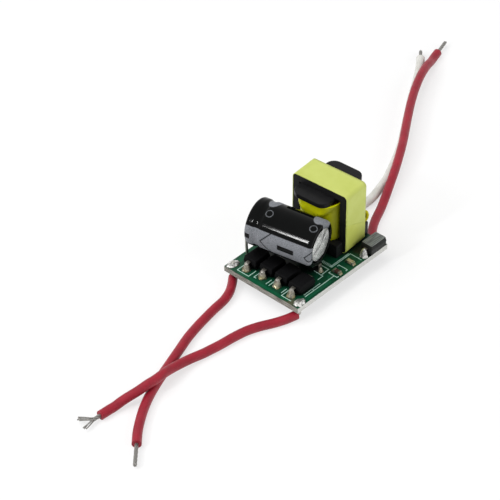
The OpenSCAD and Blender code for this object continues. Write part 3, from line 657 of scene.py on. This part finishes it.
cap_place = (Matrix.Translation(node_middle("capacitor_sleeve")) @ Matrix.Rotation(CAP_TURN, 4, "Z")
             @ Matrix.Rotation(CAP_TILT - QUARTER, 4, "X") @ Matrix.Translation((0, 0, -CAP_L / 2)))


def sleeve_profile():
    """Radius and height of the sleeve's outside, from one bare end to the other."""
    low = [(BARE_R, 0.0)]
    low += [(SLEEVE_R - SLEEVE_ROUND * (1 - sin(a)), SLEEVE_ROUND * (1 - cos(a)))
            for a in quarter(SLEEVE_ROUND_STEPS)]
    high = [(r, CAP_L - z) for r, z in reversed(low)]
    straight = CAP_L - 2 * SLEEVE_ROUND
    count = round(straight / INK_SOFT)
    middle = []
    for k in range(1, count):
        z = SLEEVE_ROUND + straight * k / count
        middle.append((SLEEVE_R - GROOVE_DEEP * exp(-((z - GROOVE_AT) / GROOVE_W) ** 4), z))
    return low + middle + high


def inside(distance):
    """Share of ink for a signed distance, soft at the edge."""
    return clamp(0.5 - distance / INK_SOFT)


def ink_at(angle, z):
    """Share of grey print on the sleeve: a band with dashes and arrow lines, round fields and plain rings."""
    across = SLEEVE_R * (angle - BAND_MIDDLE)
    band = inside(abs(across) - SLEEVE_R * BAND_HALF)
    dash = inside(max(abs(across) - DASH_W / 2, abs(near(z - DASH_AT, PRINT_PERIOD)) - DASH_L / 2))
    arrow = inside(abs(near(z - ARROW_AT + ARROW_SLOPE * abs(across), PRINT_PERIOD)) - ARROW_LINE / 2)
    ink = band * (1 - dash) * (1 - arrow)
    for middle, at, wide, tall in FIELDS:
        turn = SLEEVE_R * (angle - radians(middle)) / wide
        ink = max(ink, inside((hypot(turn, (z - at) / tall) - 1) * tall))
    for middle, at in RINGS:
        out = hypot(SLEEVE_R * (angle - radians(middle)), z - at)
        ink = max(ink, inside(abs(out - RING_R) - RING_LINE / 2))
    return ink


def make_sleeve():
    """Turned film of the sleeve, with its ink written to the mesh."""
    outer = sleeve_profile()
    line = [Vector(spot) for spot in outer]
    inner = []
    for i, (r, z) in enumerate(outer):
        ahead = heading(line, i)
        inner.append((r - SLEEVE_T * ahead.y, z + SLEEVE_T * ahead.x))
    profile = outer + list(reversed(inner))[::INNER_STEP]
    rings = []
    ink = []
    for angle in turns(SLEEVE_SIDES):
        ring = []
        for r, z in profile:
            point = Vector((-r * cos(angle), -r * sin(angle), z))
            wave = SLEEVE_WAVE + ripple(point, SLEEVE_WAVE_SIZE, SLEEVE_WAVE)
            ring.append(cap_place @ (point * (1 - wave / SLEEVE_R)))
            ink.append(ink_at(near(angle, FULL_TURN), z))
        rings.append(ring)
    made = piece("capacitor_film", lofted(rings, closed=True), "sleeve", ["capacitor_sleeve"])
    write_values(made, "ink", ink)


# The can's blind end: bulged lobes between scored lines, a sunken wedge and a hatched stretch
VENT_R = 3.46
VENT_FACE = 0.14
VENT_BACK = 0.5
VENT_LEAST = 0.02
VENT_BULGE = 0.1
VENT_ROWS = 40
VENT_SIDES = 120
VENT_HOLE = 0.1
VENT_DENT = (0.36, 0.06)
VENT_SCORES = [radians(turn) for turn in (196, 220)]
SCORE_W = 0.16
SCORE_DEEP = 0.12
SCORE_START = 0.3
WEDGE_MIDDLE = radians(48)
WEDGE_HALF = radians(17)
WEDGE_DEEP = 0.16
WEDGE_EDGE = 0.12
WEDGE_START = 0.5
HATCHED_SCORE = radians(208)
HATCHED_HALF = radians(38)
HATCHED_STEP = 0.36
HATCHED_SLANT = 0.8
HATCHED_DULL = 0.45
POLISH = 0.74
# how much painted shade darkens the wedge and the scores
RECESS_SHADE = 0.7
POLISH_CLOUD = (1.1, 0.4)
POLISH_LEVEL = 5


def turn_from(angle, middle):
    """Size of the turn between two angles."""
    return abs(near(angle - middle, FULL_TURN))


def score_share(r, angle):
    """How far a place lies in one of the scored lines, from 0 to 1."""
    share = 0.0
    for score in VENT_SCORES:
        off = turn_from(angle, score)
        if off < QUARTER:
            share = max(share, exp(-(r * sin(off) / SCORE_W) ** 2) * min(1, r / SCORE_START))
    return share


def wedge_share(r, angle):
    """How far a place lies in the sunken wedge, from 0 to 1."""
    edge = (WEDGE_HALF - turn_from(angle, WEDGE_MIDDLE)) * r
    return clamp(edge / WEDGE_EDGE) * min(1, r / WEDGE_START)


def vent_depth(r, angle):
    """Depth of the can's blind end inside the sleeve."""
    share = r / VENT_R
    lift = VENT_BULGE * sqrt(max(0, 1 - share ** 2))
    lift -= SCORE_DEEP * score_share(r, angle) + WEDGE_DEEP * share * wedge_share(r, angle)
    dent = ripple((r * cos(angle), r * sin(angle), 0), *VENT_DENT)
    return max(VENT_LEAST, VENT_FACE - lift + dent)


def vent_polish_and_shade(r, angle):
    """How bright the blind end is at a place: painted shade in the sunken wedge and the scores, and dull in
    the hatched stretch.
    """
    cloud = ripple((r * cos(angle), r * sin(angle), POLISH_LEVEL), *POLISH_CLOUD)
    # painted shade: the sunken wedge and the scored lines are darkened, where shade falls
    polish_and_shade = POLISH + cloud - RECESS_SHADE * (wedge_share(r, angle) + score_share(r, angle))
    off = turn_from(angle, HATCHED_SCORE)
    if off < HATCHED_HALF:
        stripe = sin(FULL_TURN * (r + HATCHED_SLANT * r * off) / HATCHED_STEP)
        polish_and_shade -= HATCHED_DULL * max(0, stripe) * (1 - off / HATCHED_HALF)
    return clamp(polish_and_shade)


def make_vent():
    """Bare end of the can that shows inside the sleeve, with its brightness and painted shade written to the
    mesh.
    """
    rings = []
    polish_and_shade = []
    for k in range(VENT_ROWS + 2):
        r = VENT_R * (min(k, VENT_ROWS) + VENT_HOLE) / (VENT_ROWS + VENT_HOLE)
        ring = []
        for a in turns(VENT_SIDES):
            depth = vent_depth(r, a) if k <= VENT_ROWS else VENT_BACK
            ring.append(cap_place @ Vector((r * cos(a), -r * sin(a), depth)))
            polish_and_shade.append(vent_polish_and_shade(r, a))
        rings.append(ring)
    made = piece("capacitor_vent", lofted(rings), "bare_can")
    write_values(made, "polish_and_shade", polish_and_shade)


make_sleeve()
make_vent()


# Transformer: tape round the core and round the winding, in the frame of the core
CORE_TURN = radians(3.5)
CORE_T = 6.3
TAPE_HALF_W = 6.77
TAPE_T = 0.15
TAPE_ROUND = 0.92
TAPE_ROWS = 12
TAPE_WAVE = 0.03
TAPE_WAVE_SIZE = 3
TAPE_END_Z = 9.67
TAPE_END_ROWS = 10
TAPE_BEND_STEPS = 8
TAPE_UNDER = 5
TAPE_SLANT = -1.3
TAPE_LIFT = 0.01
TAPE_STEP = 0.03
TAPE_INSET = 0.05

core_low, core_high = node_box("core_tape")
core_middle = node_middle("core_tape")
core_place = Matrix.Translation((core_middle.x, core_middle.y, 0)) @ Matrix.Rotation(CORE_TURN, 4, "Z")


def round_rectangle(half_x, half_y, radius, corner=10, side=12):
    """Points round a rectangle with round corners, from the middle of its right side."""
    points = []
    centres = [(half_x - radius, half_y - radius, 0), (radius - half_x, half_y - radius, 1),
               (radius - half_x, radius - half_y, 2), (half_x - radius, radius - half_y, 3)]
    for x, y, start in centres:
        for k in range(corner + 1):
            a = QUARTER * (start + k / corner)
            points.append(Vector((x + radius * cos(a), y + radius * sin(a), 0)))
    full = []
    for i, point in enumerate(points):
        after = points[(i + 1) % len(points)]
        full.append(point)
        if (after - point).length > radius:
            full.extend(point.lerp(after, k / side) for k in range(1, side))
    return full


def make_core_tape():
    """Band of tape round both core halves, a little uneven."""
    half_z = (core_high.z - core_low.z) / 2
    outer = round_rectangle(TAPE_HALF_W, half_z, TAPE_ROUND)
    inner = round_rectangle(TAPE_HALF_W - TAPE_T, half_z - TAPE_T, TAPE_ROUND - TAPE_T)
    across = [-CORE_T / 2 + CORE_T * k / TAPE_ROWS for k in range(TAPE_ROWS + 1)]
    rings = []
    courses = [(u, outer, TAPE_WAVE) for u in across] + [(u, inner, 0) for u in reversed(across)]
    for u, outline, wave in courses:
        ring = []
        for point in outline:
            share = 1 - abs(ripple((u, point.x, point.y), TAPE_WAVE_SIZE, wave)) / TAPE_HALF_W
            ring.append(core_place @ Vector((u, point.x * share, core_middle.z + point.y * share)))
        rings.append(ring)
    piece("core_tape_wrap", lofted(rings, closed=True), "lime", ["core_tape"])


def make_tape_end():
    """Last turn of the tape: from its cut end on one side down and under the core."""
    side_v = -TAPE_HALF_W - TAPE_LIFT
    under_z = core_low.z - TAPE_LIFT
    bend = Vector((side_v + TAPE_ROUND, under_z + TAPE_ROUND))
    drop = TAPE_END_Z - bend.y
    path = [Vector((side_v, TAPE_END_Z - drop * k / TAPE_END_ROWS)) for k in range(TAPE_END_ROWS + 1)]
    path += [bend - TAPE_ROUND * Vector((cos(a), sin(a))) for a in quarter(TAPE_BEND_STEPS)[1:]]
    path.append(Vector((side_v + TAPE_UNDER, under_z)))
    half_u = CORE_T / 2 - TAPE_INSET
    rings = []
    for i, point in enumerate(path):
        ahead = heading(path, i)
        out = Vector((ahead.y, -ahead.x))
        slant = TAPE_SLANT * max(0, 1 - i / TAPE_END_ROWS)
        ring = []
        for u, lift in ((-half_u, 0), (half_u, 0), (half_u, TAPE_STEP), (-half_u, TAPE_STEP)):
            place = point + out * lift
            ring.append(core_place @ Vector((u, place.x, place.y + slant * u / half_u)))
        rings.append(ring)
    piece("core_tape_end", lofted(rings), "lime_end", smooth=False)


WINDING_U = 5.2
WINDING_V = 4.6
WINDING_ROUND = 2.8
WINDING_T = 0.4
WINDING_ROWS = 96
WINDING_WAVE = (2.2, 0.12)
CUFF_OUT = 0.9
CUFF_LOW = 12.4
CUFF_RISE = 0.155
CUFF_FLAT = 0.6
CUFF_CREASE = 0.14
CUFF_DROOP = 0.12


def cuff_share(v, z):
    """How far the loose cuff has come out at a place, from 0 to 1: its lower edge rises to the sides."""
    crease = CUFF_LOW + CUFF_RISE * max(0, abs(v) - CUFF_FLAT) ** 2
    return clamp((z - crease) / CUFF_CREASE)


def make_winding_tape():
    """Tape round the winding, with a loose cuff under the bobbin's top flange."""
    low, high = node_box("winding_tape")
    heights = [low.z + (high.z - low.z) * k / WINDING_ROWS for k in range(WINDING_ROWS + 1)]
    outer = round_rectangle(WINDING_U, WINDING_V, WINDING_ROUND)
    inner = round_rectangle(WINDING_U - WINDING_T, WINDING_V - WINDING_T, WINDING_ROUND - WINDING_T)
    rings = []
    for z in heights:
        droop = CUFF_DROOP * (high.z - z) / (high.z - CUFF_LOW)
        ring = []
        for point in outer:
            facing = clamp((abs(point.x) - WINDING_U + WINDING_ROUND) / WINDING_ROUND)
            out = (CUFF_OUT + droop) * cuff_share(point.y, z) * sqrt(facing)
            out -= abs(ripple((point.x, point.y, z), *WINDING_WAVE))
            ring.append(core_place @ Vector((point.x + copysign(out, point.x), point.y, z)))
        rings.append(ring)
    for z in (heights[-1], heights[0]):
        rings.append([core_place @ Vector((point.x, point.y, z)) for point in inner])
    piece("winding_tape_wrap", lofted(rings, closed=True), "amber", ["winding_tape"])


FLANGE_OFF = (0.38, 0.55)
FLANGE_U = 6.85
FLANGE_V = 4.2
FLANGE_ROUND = 2.0
FLANGE_T = 1.1
FLANGE_EDGE = 0.16
BLOCK_EDGE = 0.08
EDGE_STEPS = 4
BASE_U = 5.2
BASE_T = 1.2
BASE_GAP = 0.02
TUBE = (3.75, 2.05)
RAIL_MIDDLE = 4.225
RAIL_HALF = 0.975
RAIL_W = 12.0
SLOT_W = 0.7
SLOT_DEEP = 0.5
SLOT_PITCH = 2.5
SLOT_COUNT = 4


def block_rings(outline, low, high, edge):
    """Rings of an upright block with an outline, its top and bottom edges rounded."""
    rows = [(edge * (1 - sin(a)), edge * (1 - cos(a))) for a in quarter(EDGE_STEPS)]
    levels = [(low + rise, inset) for rise, inset in reversed(rows)]
    levels += [(high - drop, inset) for drop, inset in rows]
    return [[core_place @ Vector((x, y, z)) for x, y in outline(inset)] for z, inset in levels]


def flange_outline(inset):
    """Outline of the bobbin's top flange."""
    points = round_rectangle(FLANGE_U - inset, FLANGE_V - inset, FLANGE_ROUND - inset)
    return [(point.x + FLANGE_OFF[0], point.y + FLANGE_OFF[1]) for point in points]


def box_outline(half_u, half_v):
    """Outline of a plain block."""
    def outline(inset):
        u = half_u - inset
        v = half_v - inset
        return [(u, v), (-u, v), (-u, -v), (u, -v)]
    return outline


def rail_outline(side):
    """Outline of a pin rail, with wire slots in its outer face."""
    def outline(inset):
        inner = RAIL_MIDDLE - RAIL_HALF + inset
        outer = RAIL_MIDDLE + RAIL_HALF - inset
        deep = outer - SLOT_DEEP
        end = RAIL_W / 2 - inset
        half = SLOT_W / 2 + inset
        points = [(inner, end), (inner, -end), (outer, -end)]
        for k in range(SLOT_COUNT):
            middle = (k - (SLOT_COUNT - 1) / 2) * SLOT_PITCH
            points += [(outer, middle - half), (deep, middle - half)]
            points += [(deep, middle + half), (outer, middle + half)]
        points.append((outer, end))
        return [(side * x, side * y) for x, y in points]
    return outline


def make_bobbin():
    """Moulded bobbin: top flange a little off the core's middle, tube, base and two pin rails."""
    low, high = node_box("bobbin")
    base_top = node_box("winding_tape")[0].z - BASE_GAP
    base_low = base_top - BASE_T
    blocks = [(flange_outline, high.z - FLANGE_T, high.z, FLANGE_EDGE),
              (box_outline(*TUBE), base_low, high.z - FLANGE_T / 2, BLOCK_EDGE),
              (box_outline(BASE_U, FLANGE_V), base_low, base_top, BLOCK_EDGE)]
    blocks += [(rail_outline(side), low.z, base_top, BLOCK_EDGE) for side in (-1, 1)]
    shape = Shape()
    for block in blocks:
        shape.loft(block_rings(*block))
    piece("bobbin_moulding", shape, "bobbin", ["bobbin"], smooth=False)


LEAD_OUT_D = 0.8
LEAD_OUT_STEPS = 6
LEAD_OUT_SIDES = 16
LEAD_OUT = [(4.4, -3.4, 8.6), (5.1, -4.2, 8.5), (5.75, -4.8, 8.2), (6.0, -5.05, 7.7), (5.9, -5.15, 7.15),
            (5.5, -5.2, 6.75), (4.8, -5.2, 6.55)]


def make_lead_out():
    """Insulated end of the winding that comes out low at the rear and turns in over the pin rail."""
    knots = [core_place @ Vector(point) for point in LEAD_OUT]
    path = []
    for i, (start, end) in enumerate(zip(knots, knots[1:])):
        before = neighbours(knots, i)[0]
        after = neighbours(knots, i + 1)[1]
        leave = start + (end - before) / 3
        arrive = end - (after - start) / 3
        path += geometry.interpolate_bezier(start, leave, arrive, end, LEAD_OUT_STEPS)[:-1]
    path.append(knots[-1])
    shape = Shape()
    shape.sweep(path, LEAD_OUT_D / 2, LEAD_OUT_SIDES)
    piece("winding_lead_out", shape, "lead_out")


make_core_tape()
make_tape_end()
make_winding_tape()
make_bobbin()
make_lead_out()


# Diodes: moulded bodies that widen to a parting line at half height
BRIDGE = ["bridge_diode_%d" % number for number in range(1, 5)]
DIODE_W = 3.3
DIODE_REAR = 0.2
DIODE_DRAFT = 0.16
DIODE_EDGE = 0.1
DIODE_EDGE_STEPS = 3
DIODE_CORNER = 0.16
PARTING_STEP = 0.02


def make_diode_body(name):
    """Moulded body of a bridge diode, drawn in above and below its parting line."""
    low, high = node_box(name)
    middle = Vector(((low.x + high.x + DIODE_REAR) / 2, (low.y + high.y) / 2, 0))
    half_x = (high.x - low.x + DIODE_REAR) / 2
    parting = (low.z + high.z) / 2
    rows = [(low.z, DIODE_DRAFT + DIODE_EDGE), (low.z + DIODE_EDGE, DIODE_DRAFT),
            (parting - PARTING_STEP, PARTING_STEP), (parting, 0.0), (parting + PARTING_STEP, PARTING_STEP)]
    rows += [(high.z - DIODE_EDGE * (1 - sin(a)), DIODE_DRAFT + DIODE_EDGE * (1 - cos(a)))
             for a in quarter(DIODE_EDGE_STEPS)]
    rings = []
    for z, inset in rows:
        outline = round_rectangle(half_x - inset, DIODE_W / 2 - inset, DIODE_CORNER, corner=4, side=2)
        rings.append([middle + point + UP * z for point in outline])
    piece(name + "_body", lofted(rings), "diode", [name], smooth=False)


for name in BRIDGE:
    make_diode_body(name)


# Solder: flared joints at the diodes' leads, and lumpy joints where the wires pass the board
TOE = 1.15
REAR_TOE = 0.8
OUTPUT_TOE = 0.14
TOE_W = 2.1
FLARE_POWER = 1.6
TAPER_POWER = 1.1
JOINT_TOP_W = 0.8
JOINT_COVER = 0.45
JOINT_REAR = 0.2
JOINT_ROUND = 0.25
JOINT_LEAST = 0.03
JOINT_ROWS = 18
JOINT_SIDES = 32
JOINT_SWELL = (0.6, 0.16)
SOLDER_CLIMB = 1.76
FULL_JOINT = 1
LOW_JOINT = 0.55
DOME_H = 0.55
DOME_RAGGED = 0.28
DOME_R = {"input_wire_1": (1.45, 1.0), "input_wire_2": (1.35, 0.95),
          "output_wire_positive": (0.8, 0.8), "output_wire_negative": (0.8, 0.8)}
CONE_R = (1.0, 1.0)
CONE_H = 0.5
CONE_RAGGED = 0.1
CONE_RISE = 0.6
CONE_TAPER = 1.7
LUMP_ROWS = 10
LUMP_SIDES = 40
LUMP_TURN = 2
LUMP_LEAST = 0.12
LUMP_DENT = 0.8
LUMP_DENT_SIZE = 0.45


def diode_joint(shape, foot, out, toe, size):
    """Joint that covers a lead: wide and flared at its foot, narrowing to a round top."""
    across = Vector((-out.y, out.x, 0))
    cover = min(JOINT_COVER, toe) * size
    rings = []
    for k in range(JOINT_ROWS + 1):
        share = k / JOINT_ROWS
        top = max(0, 1 - (1 - share) / JOINT_ROUND)
        cap = sqrt(max(JOINT_LEAST, 1 - top ** 2))
        half_w = (JOINT_TOP_W + (TOE_W - JOINT_TOP_W) * (1 - share) ** TAPER_POWER) / 2 * cap * size
        front = (cover + (toe * size - cover) * (1 - share) ** FLARE_POWER) * cap
        ring = []
        for a in turns(JOINT_SIDES):
            deep = front if cos(a) > 0 else JOINT_REAR * cap
            point = foot + out * deep * cos(a) + across * half_w * sin(a)
            point.z += SOLDER_CLIMB * size * share
            place = foot + (point - foot) * (1 + ripple(point, *JOINT_SWELL))
            place.z = point.z
            ring.append(place)
        rings.append(ring)
    shape.loft(rings)


def make_diode_solder(name, finish, rows, replaced=()):
    """Joints at some diodes: each row has the leads, and the toe and size of the joint at either end."""
    shape = Shape()
    for leads, ends in rows:
        low, high = node_box(leads)
        middle = (low + high) / 2
        size = high - low
        axis = Vector((1, 0, 0)) if size.x > size.y else Vector((0, 1, 0))
        half = max(size.x, size.y) / 2
        for way, (toe, scale) in zip((-1, 1), ends):
            foot = Vector((middle.x, middle.y, BOARD_TOP)) + axis * way * half
            diode_joint(shape, foot, axis * way, toe, scale)
    piece(name, shape, finish, replaced)


def lump(shape, pad, radii, height, way, from_z, ragged):
    """Joint with an uneven outline: a low dome above the board, or a peaked cone below it."""
    x, y = pad
    rings = []
    for k in range(LUMP_ROWS + 1):
        share = k / LUMP_ROWS
        rise = sin(QUARTER * share) if way > 0 else share ** CONE_RISE
        size = cos(QUARTER * share) if way > 0 else (1 - share) ** CONE_TAPER
        ring = []
        for a in turns(LUMP_SIDES):
            spot = Vector((x + LUMP_TURN * cos(a), y + LUMP_TURN * sin(a), SEED))
            spread = max(LUMP_LEAST, size) * (1 + ragged * noise.noise(spot))
            point = Vector((x + spread * radii[0] * cos(a), y + spread * radii[1] * sin(a), from_z))
            dent = ripple(point, LUMP_DENT_SIZE, LUMP_DENT * ragged) * size * share
            point.z += way * max(0.0, height * rise + dent)
            ring.append(point)
        rings.append(ring if way > 0 else list(reversed(ring)))
    shape.loft(rings)


def make_wire_solder():
    """Joints of the four leads, on top of the board and under it."""
    shape = Shape()
    for name, lead in LEADS.items():
        lump(shape, lead["pad"], DOME_R[name], DOME_H, 1, BOARD_TOP, DOME_RAGGED)
        lump(shape, lead["pad"], CONE_R, CONE_H, -1, BOARD_BOTTOM, CONE_RAGGED)
    piece("wire_joints", shape, "bright_solder", ["wire_solder"])


joint_rows = [(name + "_leads", ((TOE, FULL_JOINT), (REAR_TOE, LOW_JOINT))) for name in BRIDGE]
joint_rows.append(("snubber_diode_leads", ((TOE, LOW_JOINT), (TOE, LOW_JOINT))))
output_rows = [("output_diode_leads", ((TOE, FULL_JOINT), (OUTPUT_TOE, FULL_JOINT)))]
make_diode_solder("diode_joints", "solder", joint_rows, ["diode_solder"])
make_diode_solder("output_joints", "bright_solder", output_rows)
make_wire_solder()


# Board: printed outlines, and traces that stand out under the resist
PRINT_W = 0.17
PRINT_H = 0.02
PRINT_LINES = [
    [(-10.4, 7.0), (-12.63, 7.0), (-12.63, 4.0), (-10.4, 4.0)],
    [(-10.4, 3.05), (-12.07, 3.05), (-12.07, 2.5)],
    [(-12.07, -0.1), (-10.4, -0.1)],
    [(-12.07, -0.85), (-10.4, -0.85)],
    [(-12.07, -4.11), (-10.4, -4.11)],
    [(-10.4, -4.71), (-12.63, -4.71), (-12.63, -7.2)],
    [(-9.62, -7.86), (-4.73, -7.86)],
    [(-9.83, -8.38), (-1.26, -8.38)],
    [(-7.18, -7.86), (-7.18, -8.38)],
    [(-4.26, -6.78), (-2.74, -6.78), (-2.59, -3.12)],
    [(-2.89, -6.33), (-0.39, -6.27), (-0.39, -3.5)],
    [(-0.7, -7.0), (-1.16, -7.0), (-1.16, -9.14), (-0.7, -9.14)],
    [(1.5, -6.89), (2.0, -6.89), (2.0, -9.08), (1.5, -9.08)],
    [(0.42, -6.28), (6.29, -6.28)],
    [(0.42, -5.98), (6.0, -5.98)],
    [(6.19, -6.49), (6.19, -9.19)],
]
HATCH_X = (0.33, 1.03)
HATCH_Y = (-6.1, -3.7)
HATCH_STEP = 0.3
HATCH_W = 0.119
TRACE_H = 0.0175
# Each trace: its line and its width
TRACES = [
    ([(-12.9, 6.6), (-12.9, -6.8)], 0.7),
    ([(-11.9, 8.6), (-9.2, 8.6), (-7.6, 7.4)], 1.1),
    ([(-9.6, -8.9), (-3.2, -8.9), (-1.8, -7.6)], 0.7),
    ([(-4.9, 1.8), (-4.9, -2.2)], 0.9),
    ([(4.1, -9.1), (7.0, -9.1)], 0.6),
    ([(0.35, -7.2), (2.4, -5.6)], 0.7),
    ([(12.3, 7.2), (12.3, 2.2)], 0.9),
    ([(-4.6, 8.9), (3.2, 8.9), (4.6, 8.0)], 0.8),
]
UNDER_TRACES = [
    ([(-11.9, 8.2), (-11.9, 4.4), (-9.8, 3.6)], 0.9),
    ([(-11.9, -8.2), (-11.9, -4.4), (-9.8, -3.6)], 0.9),
    ([(-6.6, 0), (-5.2, 0), (-5.2, 8.2)], 0.8),
    ([(3.7, -3.8), (3.7, -7.6), (-1.4, -7.6)], 0.9),
    ([(12.3, 8.0), (12.3, 6.4)], 1.2),
    ([(12.3, -5.6), (12.3, -3.8)], 1.2),
]


def print_lines():
    """Printed outlines of the parts and a hatched mark, with their widths."""
    lines = [(line, PRINT_W) for line in PRINT_LINES]
    y = HATCH_Y[0]
    while y < HATCH_Y[1]:
        lines.append(([(HATCH_X[0], y), (HATCH_X[1], y)], HATCH_W))
        y += HATCH_STEP
    return lines


def make_strips(name, finish, layers):
    """Flat strips on the board: each layer has lines with their widths, and two levels."""
    shape = Shape()
    for lines, low, high in layers:
        for line, width in lines:
            shape.ribbon(line, width, low, high)
    piece(name, shape, finish, smooth=False)


make_strips("board_print", "print", [(print_lines(), BOARD_TOP, BOARD_TOP + PRINT_H)])
make_strips("board_traces", "trace", [(TRACES, BOARD_TOP, BOARD_TOP + TRACE_H),
                                      (UNDER_TRACES, BOARD_BOTTOM - TRACE_H, BOARD_BOTTOM)])


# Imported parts: finishes and soft edges
WELD_GAP = 0.001
EDGE_SEGMENTS = 3
EDGE_ANGLE = radians(35)
# Each row: a finish, the width of the rounded edges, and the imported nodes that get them
DRESSING = [
    ("board", 0, ["circuit_board"]),
    ("dull_tin", 0.03, [name + "_leads" for name in BRIDGE + ["output_diode", "snubber_diode"]]),
    ("output_diode", 0.13, ["output_diode"]),
    ("diode", 0.07, ["snubber_diode"]),
    ("diode", 0.06, ["controller_ic"]),
    ("glaze", 0.04, ["chip_resistor_%d" % number for number in range(1, 5)]),
    ("brown_chip", 0.05, ["chip_capacitor_1"]),
    ("tan_chip", 0.05, ["chip_capacitor_2", "chip_capacitor_3"]),
    ("tin", 0.03, ["chip_ends", "controller_leads"]),
    ("tin", 0, ["capacitor_leads", "transformer_pins", "wire_tails"]),
    ("can", 0, ["capacitor_can"]),
    ("rubber", 0, ["capacitor_bung"]),
    ("ferrite", 0.12, ["core_upper", "core_lower"]),
    ("copper", 0, ["copper_winding"]),
    ("solder", 0, ["chip_solder", "pin_solder"]),
]


def dress(made, finish, edge):
    """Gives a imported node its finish, and rounds its sharp edges by a width."""
    made.data.materials.clear()
    made.data.materials.append(FINISHES[finish])
    if edge:
        weld = made.modifiers.new("weld", "WELD")
        weld.merge_threshold = WELD_GAP * MM
        bevel = made.modifiers.new("edges", "BEVEL")
        bevel.width = edge * MM
        bevel.segments = EDGE_SEGMENTS
        bevel.limit_method = "ANGLE"
        bevel.angle_limit = EDGE_ANGLE
        bevel.harden_normals = True


for finish, edge, names in DRESSING:
    for name in names:
        dress(nodes[name], finish, edge)


# Stage: pale floor, even sky, soft key and fill lights, and a tall slim light that the sleeve mirrors
FLOOR_HALF_M = 3.0
FLOOR_WHITE = 1.0
FLOOR_GLOW = 0.66
SKY_LIGHT = 0.22
# Each light: direction, distance, width and height in metres, power in watts, and whether gloss mirrors it
LIGHTS = {
    "key_light": ((-0.35, 0.4, 1.0), 0.9, 1.0, 1.0, 7.4, False),
    "fill_light": ((0.35, -1.0, 0.55), 0.8, 0.5, 0.5, 2.4, False),
    "strip_light": ((-0.827, 0.148, 0.530), 0.6, 0.014, 0.12, 0.9, True),
}


def background_rays(tree):
    """Share that is 1 for rays that see the background: straight, mirrored or through glass."""
    path = add_node(tree, "ShaderNodeLightPath")
    total = path.outputs["Is Camera Ray"]
    for kind in ("Is Glossy Ray", "Is Transmission Ray"):
        join = add_node(tree, "ShaderNodeMath", {0: total, 1: path.outputs[kind]}, operation="MAXIMUM")
        total = join.outputs[0]
    return total


def make_floor():
    """White floor that keeps soft shadows."""
    mesh = bpy.data.meshes.new("floor")
    half = FLOOR_HALF_M
    corners = [(-half, -half, 0), (half, -half, 0), (half, half, 0), (-half, half, 0)]
    mesh.from_pydata(corners, [], [(0, 1, 2, 3)])
    floor = new_object("floor", mesh)
    material = bpy.data.materials.new("floor")
    material.use_nodes = True
    tree = material.node_tree
    tree.nodes.clear()
    matte = add_node(tree, "ShaderNodeBsdfDiffuse", {"Color": (FLOOR_WHITE, FLOOR_WHITE, FLOOR_WHITE, 1)})
    glow = add_node(tree, "ShaderNodeEmission")
    share = add_node(tree, "ShaderNodeMath", {0: background_rays(tree), 1: FLOOR_GLOW}, operation="MULTIPLY")
    parts = {"Fac": share.outputs[0], 1: matte.outputs[0], 2: glow.outputs[0]}
    mix = add_node(tree, "ShaderNodeMixShader", parts)
    add_node(tree, "ShaderNodeOutputMaterial", {"Surface": mix.outputs[0]})
    mesh.materials.append(material)


def make_sky():
    """Even light from all round, with a white background."""
    world = bpy.data.worlds.new("sky")
    bpy.context.scene.world = world
    world.use_nodes = True
    tree = world.node_tree
    ends = {"Value": background_rays(tree), "To Min": SKY_LIGHT, "To Max": 1}
    strength = add_node(tree, "ShaderNodeMapRange", ends)
    fill(tree, tree.nodes["Background"], {"Color": (1, 1, 1, 1), "Strength": strength.outputs["Result"]})


def make_light(name, way, distance, width, height, power, mirrored):
    """Area light that shines at the board from a direction."""
    data = bpy.data.lights.new(name, "AREA")
    data.shape = "RECTANGLE"
    data.size = width
    data.size_y = height
    data.energy = power
    light = new_object(name, data)
    light.location = Vector(way).normalized() * distance
    light.rotation_mode = "QUATERNION"
    light.rotation_quaternion = Vector(way).to_track_quat("Z", "Y")
    light.visible_glossy = mirrored


make_floor()
make_sky()
for name, settings in LIGHTS.items():
    make_light(name, *settings)
